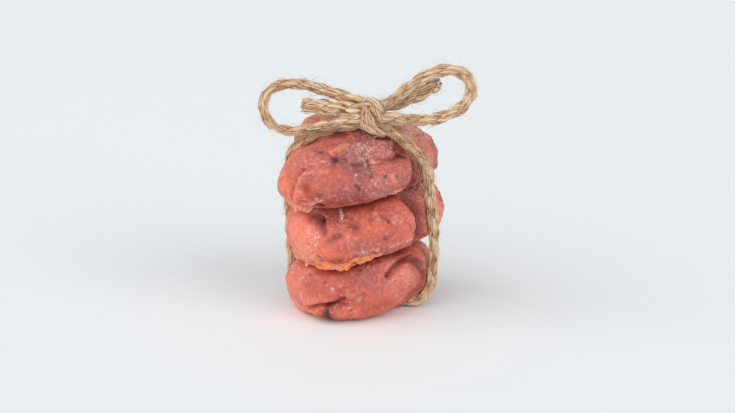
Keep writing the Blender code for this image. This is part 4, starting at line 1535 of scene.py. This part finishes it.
def marked(treat, marks, directions, points):
    """The rise that marks give a treat's skin, and the strength of each mask at each point."""
    reach = np.linalg.norm(points - np.array(treat.centre), axis=1)
    rise = np.zeros(len(points))
    tints = {name: np.zeros(len(points)) for name in MASKS}
    small_breaks = noise_at(points, SMALL_BREAK_SIZE, treat.seed + 7.0)
    breaks = noise_at(points, BREAK_SIZE, treat.seed + 6.0) + 0.5 * small_breaks
    for mark in marks:
        line = line_on_sphere(mark.line, MARK_STEP)
        apart, nearest = nearest_on(line, directions)
        away = apart * reach / (mark.width * MM)
        shape = np.exp(-(away**2))
        ragged = np.clip(0.5 + 1.6 * breaks, 0.0, STRONGEST_MASK)
        shape = shape * (1.0 - mark.broken + mark.broken * ragged)
        rise += mark.rise * MM * shape
        if mark.lip:
            edge = lip_shape(line, nearest, directions, away)
            rise += mark.lip * MM * edge * taper_shape(line, nearest)
        for name, strength in mark.tints.items():
            tints[name] += strength * shape
    return rise, tints


def scattered_marks(treat):
    """Pits, specks and patches in seeded places all round the treat."""
    draw = np.random.default_rng(int(treat.seed * 10))
    found = []
    for _ in range(SCATTERED):
        place = [(draw.uniform(-180, 180), math.degrees(math.asin(draw.uniform(-0.8, 0.8))))]
        kind, size, strength = draw.random(), draw.uniform(0.3, 0.7), draw.uniform(0.25, 0.8)
        # Pits: their dark and brick tints are painted shade at the bottom.
        if kind < 0.4:
            found.append(Mark(place, size, -0.5 * size, 0.0, {"dark": strength, "brick": 0.3}))
        elif kind < 0.6:
            found.append(Mark(place, 1.6 * size, 0.1, 0.8, {"frost": 0.5 * strength, "crumbs": strength}))
        elif kind < 0.7:
            found.append(Mark(place, 1.1 * size, 0.15, 0.4, {"orange": strength}))
        elif kind < 0.85:
            found.append(Mark(place, 6.0 * size, 0.0, 0.5, {"mauve": strength}))
        else:
            found.append(Mark(place, 4.0 * size, 0.0, 0.5, {"coral": strength}))
    return found


def sphere_grid(cells):
    """A cube of square cells whose corners are moved to even directions on a sphere."""
    grid = bmesh.new()
    bmesh.ops.create_cube(grid, size=2.0)
    bmesh.ops.subdivide_edges(grid, edges=grid.edges[:], cuts=cells - 1, use_grid_fill=True)
    for vertex in grid.verts:
        vertex.co = Vector([math.tan(c * math.pi / 4) for c in vertex.co]).normalized()
    mesh = bpy.data.meshes.new("sphere_grid")
    grid.to_mesh(mesh)
    grid.free()
    return mesh


def dressed(name, mesh, masks, treat, settings):
    """An object of a mesh with its masks as attributes and the treat's dough on it."""
    for label in MASKS:
        attribute = mesh.attributes.new(label, "FLOAT", "POINT")
        values = np.clip(masks.get(label, np.zeros(len(mesh.vertices))), 0.0, STRONGEST_MASK)
        attribute.data.foreach_set("value", values.astype(np.float32))
    mesh.name = name
    mesh.shade_smooth()
    mesh.update()
    mesh.materials.clear()
    mesh.materials.append(dough_material(treat, settings))
    return new_object(name, mesh)


def grooves_in(treat):
    """The routes of the twine that presses into a treat, each with the radius of its groove."""
    ring = smooth_route(RING_ROUTE, ROUTE_STEP)
    grooves = [(ring, GROOVE_RADIUS)]
    if treat is BOTTOM:
        grooves.append((ring - np.array([0.0, 0.0, UNDERSIDE_OPENING]), GROOVE_RADIUS))
    if treat is TOP:
        grooves.append((smooth_route(KNOT_TURN, ROUTE_STEP), KNOT_GROOVE_RADIUS))
    return grooves


def dough_piece(treat, below, above, grid, settings):
    """One treat with its skin, marks and tints."""
    directions = np.zeros(len(grid.vertices) * 3)
    grid.vertices.foreach_get("co", directions)
    directions = directions.reshape(-1, 3)
    centre = np.array(treat.centre)
    points = dough_body(treat, directions, below, above)
    relief, hollow, proud = skin_relief(treat, points, settings.skin_height)
    rise, masks = marked(treat, treat.marks + scattered_marks(treat), directions, points)
    dry = np.clip(0.4 + 1.6 * noise_at(points, DRY_SIZE, treat.seed + 8.0), 0.0, 1.0)
    masks["mauve"] += treat.dryness
    # Painted shade along the contact lines with the treats above and below, faded out towards the left.
    for contact, strength in ((above, SEAM_SHADE_UNDER_NEXT), (below, SEAM_SHADE_ON_LAST)):
        if contact in BETWEEN_TREATS:
            seam_shade = np.exp(-(((points[:, 2] - contact.under(points)) / SEAM_SHADE_WIDTH) ** 2))
            seam_shade *= np.clip((points[:, 0] - SEAM_SHADE_START) / SEAM_SHADE_FADE, 0.0, 1.0)
            masks["brick"] += strength * seam_shade
            masks["dark"] += SEAM_SHADE_DARK * strength * seam_shade
    # Painted shade in the skin's hollows.
    masks["brick"] += HOLLOW_SHADE * hollow
    masks["frost"] += PROUD_FROST * proud * dry
    masks["crumbs"] += CRUMBS_ANYWHERE + CRUMBS_PROUD * proud * dry
    points += directions * (relief + rise)[:, None]
    directions = points - centre
    directions /= np.linalg.norm(directions, axis=1)[:, None]
    for route, radius in grooves_in(treat):
        points = twine_groove(points, centre, directions, route, radius)
    points[:, 2] = np.maximum(points[:, 2], 0.0)
    mesh = grid.copy()
    mesh.vertices.foreach_set("co", points.ravel())
    return dressed(treat.name, mesh, masks, treat, settings)


def torn_rim(edge, below, above):
    """The points of a ragged rim, as loops round its sheet at each step along it, and its masks."""
    line = line_on_sphere(edge.line, TORN_STEP)
    foot = dough_body(edge.treat, line, below, above)
    outwards = line * (1.0, 1.0, 0.0)
    outwards /= np.linalg.norm(outwards, axis=1)[:, None]
    along = np.concatenate([[0.0], np.cumsum(np.linalg.norm(np.diff(foot, axis=0), axis=1))])

    def ripple(size, step):
        places = np.stack([along, np.zeros_like(along), np.zeros_like(along)], axis=1)
        return noise_at(places, size * MM, edge.seed + step)

    ends = np.sin(math.pi * np.linspace(0.0, 1.0, len(line))) ** TORN_END_TAPER
    ragged = TORN_REACH
    for step, (size, share) in enumerate(TORN_WAVES, start=1):
        ragged = ragged + share * ripple(size, step)
    reach = edge.reach * MM * ends * np.clip(ragged, *TORN_REACH_LIMITS)
    droop = np.radians(edge.droop + TORN_DROOP_CHANGE * ripple(TORN_DROOP_WAVE, 4))
    stride = ((reach + TORN_SINK) / SHEET_CELLS)[:, None]
    upwards = np.array([0.0, 0.0, 1.0])
    middle, normals = [], []
    place = foot - outwards * TORN_SINK
    shares = np.linspace(0.0, 1.0, SHEET_CELLS + 1)
    for share in shares:
        angle = (droop + math.radians(edge.curl) * share)[:, None]
        middle.append(place)
        normals.append(np.sin(angle) * outwards + np.cos(angle) * upwards)
        place = place + stride * (np.cos(angle) * outwards - np.sin(angle) * upwards)
    middle, normals = np.stack(middle, axis=1), np.stack(normals, axis=1)
    half = (edge.root * (1.0 - shares) ** 0.8 + TORN_TIP)[None, :, None] * MM / 2 * ends[:, None, None]
    sides = []
    for side, step in ((1.0, 5), (-1.0, 6)):
        flat = middle.reshape(-1, 3)
        small_bumps = noise_at(flat, TORN_SMALL_BUMP_SIZE, edge.seed + step)
        bumps = noise_at(flat, TORN_BUMP_SIZE, edge.seed + step) + 0.5 * small_bumps
        bumps = np.abs(bumps).reshape(middle.shape[:2])[:, :, None] * TORN_BUMPS
        sides.append(middle + side * normals * (half + bumps))
    loops = np.concatenate([sides[0], sides[1][:, ::-1]], axis=1)
    loops[:, :, 2] = np.maximum(loops[:, :, 2], 0.0)
    round_sheet = np.concatenate([shares, shares[::-1]])
    towards_tip = np.broadcast_to(round_sheet, loops.shape[:2]).ravel()
    masks = {}
    for name in {*edge.tints, *edge.tip_tints}:
        start, stop = edge.tints.get(name, 0.0), edge.tip_tints.get(name, 0.0)
        masks[name] = start + (stop - start) * towards_tip**1.5
    return loops, masks


def torn_piece(treat, edges, below, above, settings):
    """All the ragged rims of a treat."""
    places, faces, masks = [], [], []
    count = 0
    for edge in edges:
        loops, found = torn_rim(edge, below, above)
        steps, sides = loops.shape[:2]
        number = count + np.arange(steps * sides).reshape(steps, sides)
        follow = np.roll(number, -1, axis=1)
        quads = np.stack([number[:-1], number[1:], follow[1:], follow[:-1]], axis=-1)
        faces += quads.reshape(-1, 4).tolist() + [number[0].tolist(), number[-1, ::-1].tolist()]
        places.append(loops.reshape(-1, 3))
        masks.append({name: found.get(name, np.zeros(steps * sides)) for name in MASKS})
        count += steps * sides
    mesh = bpy.data.meshes.new("rims")
    mesh.from_pydata(np.concatenate(places).tolist(), [], faces)
    grid = bmesh.new()
    grid.from_mesh(mesh)
    bmesh.ops.recalc_face_normals(grid, faces=grid.faces[:])
    grid.to_mesh(mesh)
    grid.free()
    joined = {name: np.concatenate([found[name] for found in masks]) for name in MASKS}
    return dressed(treat.name.replace("dough", "torn"), mesh, joined, treat, settings)


# Crumbs: sizes, how their lengths and heights differ from their widths, and their roughness.
SMALLEST_CRUMB = 0.09 * MM
CRUMB_SPREAD = 0.26 * MM
CRUMB_LENGTH = (0.8, 1.7)
CRUMB_HEIGHT = (0.4, 0.9)
CRUMB_TURN = (0.0, 6.3)
CRUMB_ROUGHNESS = 0.22 * MM
CRUMB_ROUGHNESS_SCALE = 4500.0


def crumb_tree():
    """Crumbs strewn over a surface, as thick as its crumbs mask says."""
    inputs, outputs = geometry_sockets(
        Density=float_socket(2.2e6),
        Smallest=float_socket(0.0001),
        Spread=float_socket(0.0003),
        Lowest=float_socket(0.0009),
    )
    tree, make, given, result = new_tree("dough_crumbs", "GeometryNodeTree", inputs, outputs)
    place = make.add("GeometryNodeInputPosition")
    height = make.add("ShaderNodeSeparateXYZ", {0: place}).outputs[2]
    density = make.math("MULTIPLY", kept(make, "crumbs"), given["Density"])
    density = make.math("MULTIPLY", density, make.math("GREATER_THAN", height, given["Lowest"]))
    spread = make.add(
        "GeometryNodeDistributePointsOnFaces",
        {"Mesh": given["Geometry"], "Density": density, "Seed": given["Seed"]},
    )
    number = make.add("GeometryNodeInputIndex")

    def chance(low, high, step):
        return make.random(low, high, number, make.math("ADD", given["Seed"], step))

    points = stored(make, spread.outputs["Points"], frost=make.math("POWER", chance(0.0, 1.0, 1), 1.5))
    width = make.math("MULTIPLY", make.math("POWER", chance(0.0, 1.0, 2), 2.0), given["Spread"])
    width = make.math("ADD", width, given["Smallest"])
    size = make.add(
        "ShaderNodeCombineXYZ",
        {
            0: make.math("MULTIPLY", width, chance(*CRUMB_LENGTH, 3)),
            1: width,
            2: make.math("MULTIPLY", width, chance(*CRUMB_HEIGHT, 4)),
        },
    )
    tilts = {axis: chance(*CRUMB_TURN, 5 + axis) for axis in range(3)}
    tilt = make.add("ShaderNodeCombineXYZ", tilts)
    lump = make.add("GeometryNodeMeshUVSphere", {"Segments": 6, "Rings": 4, "Radius": 1.0})
    placed = {"Points": points, "Instance": lump, "Scale": size, "Rotation": tilt}
    strewn = make.add("GeometryNodeInstanceOnPoints", placed)
    loose = make.add("GeometryNodeRealizeInstances", {"Geometry": strewn})
    uneven = make.clouds(place, CRUMB_ROUGHNESS_SCALE)["Color"]
    shift = make.scaled(make.vector("SUBTRACT", uneven, NOISE_MIDDLE), CRUMB_ROUGHNESS)
    ragged = make.add("GeometryNodeSetPosition", {"Geometry": loose, "Offset": shift})
    finished(make, given, result, (ragged,))
    return tree


def crumb_piece(ground, name, treat, settings):
    """The crumbs that lie on a piece of dough."""
    source = new_object("crumb_ground", ground.data.copy())
    values = {
        "Density": settings.crumbs / MM**2,
        "Smallest": SMALLEST_CRUMB,
        "Spread": CRUMB_SPREAD,
        "Seed": int(treat.seed * 10),
        "Material": dough_material(treat, settings),
    }
    return grown(name, source, tree_named("dough_crumbs", crumb_tree), values)


# The bending of the dough's patches, how far each colour darkens with them, and its fine grain.
PATCH_BEND = 9.0 * MM
PATCH_BEND_SCALE = 150.0
SHADE_OF_DOUGH = (0.6, 1.0, 1.05)
GRAIN_SCALE = 1300.0
GRAIN_CELL_SCALE = 1900.0


def dough_patches():
    """The dough's colour: salmon with drifting patches, tinted where its masks say so."""
    inputs = {"Place": place_socket(), "Salmon Colour": colour_socket()}
    for name in TINTS:
        inputs[name.title() + " Colour"] = colour_socket()
        inputs[name] = float_socket(0.0)
    outputs = {"Color": "NodeSocketColor", "Wet": "NodeSocketFloat", "Dry": "NodeSocketFloat"}
    tree, make, given, result = new_tree("dough_patches", "ShaderNodeTree", inputs, outputs)
    bend = make.vector("SUBTRACT", make.clouds(given["Place"], PATCH_BEND_SCALE)["Color"], NOISE_MIDDLE)
    bent = make.vector("ADD", given["Place"], make.scaled(bend, PATCH_BEND))

    def cloud(scale, detail, shift, source=bent):
        moved = make.vector("ADD", source, (shift, -shift, 2 * shift))
        return make.clouds(moved, scale, detail)["Fac"]

    def patched(name, patch, low, high, most, clamp=True):
        """A mask with drifting patches of its own on top."""
        return make.math("ADD", given[name], make.smooth_step(patch, low, high, 0.0, most), clamp=clamp)

    def swayed(value, wave, weight, clamp=False):
        """A value that a wave moves up and down."""
        return make.math("MULTIPLY_ADD", make.math("SUBTRACT", wave, 0.5), weight, value, clamp=clamp)

    def tinted(colour, name, share):
        return make.mixed(share, colour, given[name.title() + " Colour"])

    mottle = cloud(330.0, 5.0, 0.3)
    fine = cloud(900.0, 3.0, 0.7, given["Place"])
    speck = cloud(2300.0, 2.0, 1.1, given["Place"])
    mauve = patched("mauve", cloud(75.0, 3.0, 0.0), 0.46, 0.7, 0.6, clamp=False)
    mauve = swayed(mauve, mottle, 0.7, clamp=True)
    colour = tinted(given["Salmon Colour"], "mauve", mauve)
    # Coral: drifting patches, and the painted light of some marks.
    coral = patched("coral", cloud(110.0, 3.0, 1.3), 0.5, 0.72, 0.25)
    colour = tinted(colour, "coral", coral)
    # Brick: drifting darker red patches, and the painted shade that the masks carry.
    brick = patched("brick", cloud(520.0, 4.0, 2.1), 0.55, 0.72, 0.3)
    colour = tinted(colour, "brick", brick)
    dry = make.math("MULTIPLY_ADD", mauve, 0.9, make.math("MULTIPLY_ADD", coral, -0.3, 0.45))
    frosted = make.math("MULTIPLY", make.smooth_step(fine, 0.54, 0.78, 0.0, 0.25), dry)
    colour = tinted(colour, "frost", frosted)
    shade = swayed(make.math("SUBTRACT", fine, 0.5), speck, 1.1)
    shade = swayed(make.math("MULTIPLY", shade, dry), mottle, 0.85)
    tone = make.vector("ADD", make.scaled(SHADE_OF_DOUGH, shade), (1.0, 1.0, 1.0))
    colour = make.vector("MULTIPLY", colour, tone)
    streaked = make.smooth_step(mottle, 0.4, 0.6, 0.3, 1.1)
    orange = make.math("MULTIPLY", given["orange"], streaked, clamp=True)
    colour = tinted(colour, "orange", orange)
    # Frost: the pale bloom of the masks, with the painted light of some marks.
    broken = make.smooth_step(cloud(1900.0, 3.0, 3.3, given["Place"]), 0.35, 0.62)
    colour = tinted(colour, "frost", make.math("MULTIPLY", given["frost"], broken, clamp=True))
    # Dark: the painted shade that the masks carry.
    make.fill(result["Color"], tinted(colour, "dark", given["dark"]))
    make.fill(result["Dry"], dry)
    make.fill(result["Wet"], make.smooth_step(cloud(260.0, 3.0, 4.4), 0.4, 0.7))
    return tree


def dough_grain():
    """The height of the dough's fine grain."""
    inputs = {"Place": place_socket(), "Grain Size": float_socket(1.0)}
    outputs = {"Height": "NodeSocketFloat"}
    tree, make, given, result = new_tree("dough_grain", "ShaderNodeTree", inputs, outputs)
    place = make.scaled(given["Place"], make.math("DIVIDE", 1.0, given["Grain Size"]))
    coarse = make.clouds(place, GRAIN_SCALE, 4.0)["Fac"]
    cells = make.add("ShaderNodeTexVoronoi", {"Vector": place, "Scale": GRAIN_CELL_SCALE})
    make.fill(result["Height"], make.math("MULTIPLY_ADD", cells.outputs["Distance"], -0.4, coarse))
    return tree


def dough_material(treat, settings):
    """Soft moist dough, matt to faintly shiny and slightly translucent."""
    name = treat.slot + "_dough"
    if name in bpy.data.materials:
        return bpy.data.materials[name]
    finish = bpy.data.materials.new(name)
    finish.use_nodes = True
    make = NodeMaker(finish.node_tree)
    shader = finish.node_tree.nodes["Principled BSDF"]
    coordinates = make.add("ShaderNodeTexCoord").outputs["Object"]
    location = (treat.seed, -treat.seed, treat.seed)
    place = make.add("ShaderNodeMapping", {"Vector": coordinates, "Location": location})
    patches = make.add("ShaderNodeGroup", node_tree=tree_named("dough_patches", dough_patches))
    make.fill(patches.inputs["Place"], place)
    for label in ("salmon", *TINTS):
        patches.inputs[label.title() + " Colour"].default_value = (*getattr(settings, label), 1.0)
    for label in TINTS:
        mask = make.add("ShaderNodeAttribute", attribute_name=label)
        make.fill(patches.inputs[label], mask.outputs["Fac"])
    make.fill(shader.inputs["Base Color"], patches.outputs["Color"])
    roughness = make.smooth_step(patches.outputs["Wet"], 0.0, 1.0, 0.55, 0.34)
    make.fill(shader.inputs["Roughness"], roughness)
    shader.inputs["Specular IOR Level"].default_value = 0.4
    shader.inputs["Sheen Weight"].default_value = 0.08
    shader.inputs["Sheen Roughness"].default_value = 0.4
    shader.inputs["Sheen Tint"].default_value = (1.0, 0.84, 0.8, 1.0)
    shader.inputs["Subsurface Weight"].default_value = settings.translucency
    shader.inputs["Subsurface Radius"].default_value = (1.0, 0.35, 0.22)
    shader.inputs["Subsurface Scale"].default_value = 1.6 * MM
    grain = make.add("ShaderNodeGroup", node_tree=tree_named("dough_grain", dough_grain))
    make.fill(grain.inputs["Place"], place)
    strength = make.math("MULTIPLY_ADD", patches.outputs["Dry"], 0.5, 0.2, clamp=True)
    relief = {"Height": grain.outputs["Height"], "Strength": strength, "Distance": 0.32 * MM}
    make.fill(shader.inputs["Normal"], make.add("ShaderNodeBump", relief))
    return finish


class TREATS_OT_dough(bpy.types.Operator):
    """Presses the three treats, with their torn rims and crumbs"""

    bl_idname = "treats.dough"
    bl_label = "Press Dough"

    def execute(self, context):
        settings = context.scene.treats_dough
        grid = sphere_grid(CELLS)
        for treat, below, above in zip(TREATS, CONTACTS, CONTACTS[1:]):
            dough = dough_piece(treat, below, above, grid, settings)
            node = treat.slot.replace("dough", "treat")
            finish_piece(dough, (node,))
            grounds = [(dough, "crumbs")]
            edges = [edge for edge in TORN_EDGES if edge.treat is treat]
            if edges:
                torn = torn_piece(treat, edges, below, above, settings)
                finish_piece(torn)
                grounds.append((torn, "rim_crumbs"))
            for ground, kind in grounds:
                crumbs = crumb_piece(ground, treat.name.replace("dough", kind), treat, settings)
                finish_piece(crumbs)
        bpy.data.meshes.remove(grid)
        return {"FINISHED"}


# Studio

FLOOR_REACH = 4.0
# Where each light comes from, and how wide it is in degrees.
LEFT_LIGHT = ((-1.0, -0.95, 0.68), 105.0)
RIGHT_LIGHT = ((1.0, -0.85, 0.80), 45.0)


class TREATS_OT_studio(bpy.types.Operator):
    """Sets a pale floor, two soft lights and an even sky"""

    bl_idname = "treats.studio"
    bl_label = "Set Studio"

    def execute(self, context):
        settings = context.scene.treats_studio
        scene = context.scene
        grid = bmesh.new()
        bmesh.ops.create_grid(grid, x_segments=1, y_segments=1, size=FLOOR_REACH)
        mesh = bpy.data.meshes.new("floor")
        grid.to_mesh(mesh)
        grid.free()
        floor = new_object("floor", mesh)
        finish = bpy.data.materials.new("floor_paper")
        finish.use_nodes = True
        shader = finish.node_tree.nodes["Principled BSDF"]
        shader.inputs["Base Color"].default_value = (*settings.floor, 1.0)
        shader.inputs["Roughness"].default_value = 0.6
        shader.inputs["Specular IOR Level"].default_value = 0.2
        mesh.materials.append(finish)
        world = bpy.data.worlds.new("sky")
        scene.world = world
        world.use_nodes = True
        sky = world.node_tree.nodes["Background"]
        sky.inputs["Color"].default_value = (*settings.sky, 1.0)
        sky.inputs["Strength"].default_value = settings.sky_power
        lights = (
            ("left_light", settings.left_power, *LEFT_LIGHT),
            ("right_light", settings.right_power, *RIGHT_LIGHT),
        )
        for name, power, towards, width in lights:
            data = bpy.data.lights.new(name, "SUN")
            data.energy = power
            data.angle = math.radians(width)
            light = new_object(name, data)
            light.rotation_euler = Vector(towards).to_track_quat("Z", "Y").to_euler()
        scene.view_settings.view_transform = "Standard"
        return {"FINISHED"}


class TREATS_PT_panel(bpy.types.Panel):
    """Lists the steps and what can be changed"""

    bl_idname = "TREATS_PT_panel"
    bl_label = "Tied Dog Treats"
    bl_space_type = "VIEW_3D"
    bl_region_type = "UI"
    bl_category = "Treats"

    def draw(self, context):
        layout = self.layout
        for step in STEPS:
            layout.operator(step.bl_idname)
        for group in (context.scene.treats_twine, context.scene.treats_dough, context.scene.treats_studio):
            box = layout.box()
            for name in group.__annotations__:
                box.prop(group, name)


SETTINGS = {"treats_twine": TwineSettings, "treats_dough": DoughSettings, "treats_studio": StudioSettings}
STEPS = (
    TREATS_OT_camera,
    TREATS_OT_bow,
    TREATS_OT_ring,
    TREATS_OT_knot,
    TREATS_OT_dough,
    TREATS_OT_studio,
)


def register():
    for name, group in SETTINGS.items():
        bpy.utils.register_class(group)
        setattr(bpy.types.Scene, name, PointerProperty(type=group))
    for step in STEPS:
        bpy.utils.register_class(step)
    bpy.utils.register_class(TREATS_PT_panel)


def unregister():
    bpy.utils.unregister_class(TREATS_PT_panel)
    for step in reversed(STEPS):
        bpy.utils.unregister_class(step)
    for name, group in SETTINGS.items():
        delattr(bpy.types.Scene, name)
        bpy.utils.unregister_class(group)


def main():
    """Runs every step in order."""
    register()
    for step in STEPS:
        family, name = step.bl_idname.split(".")
        getattr(getattr(bpy.ops, family), name)()


if __name__ == "__main__":
    main()
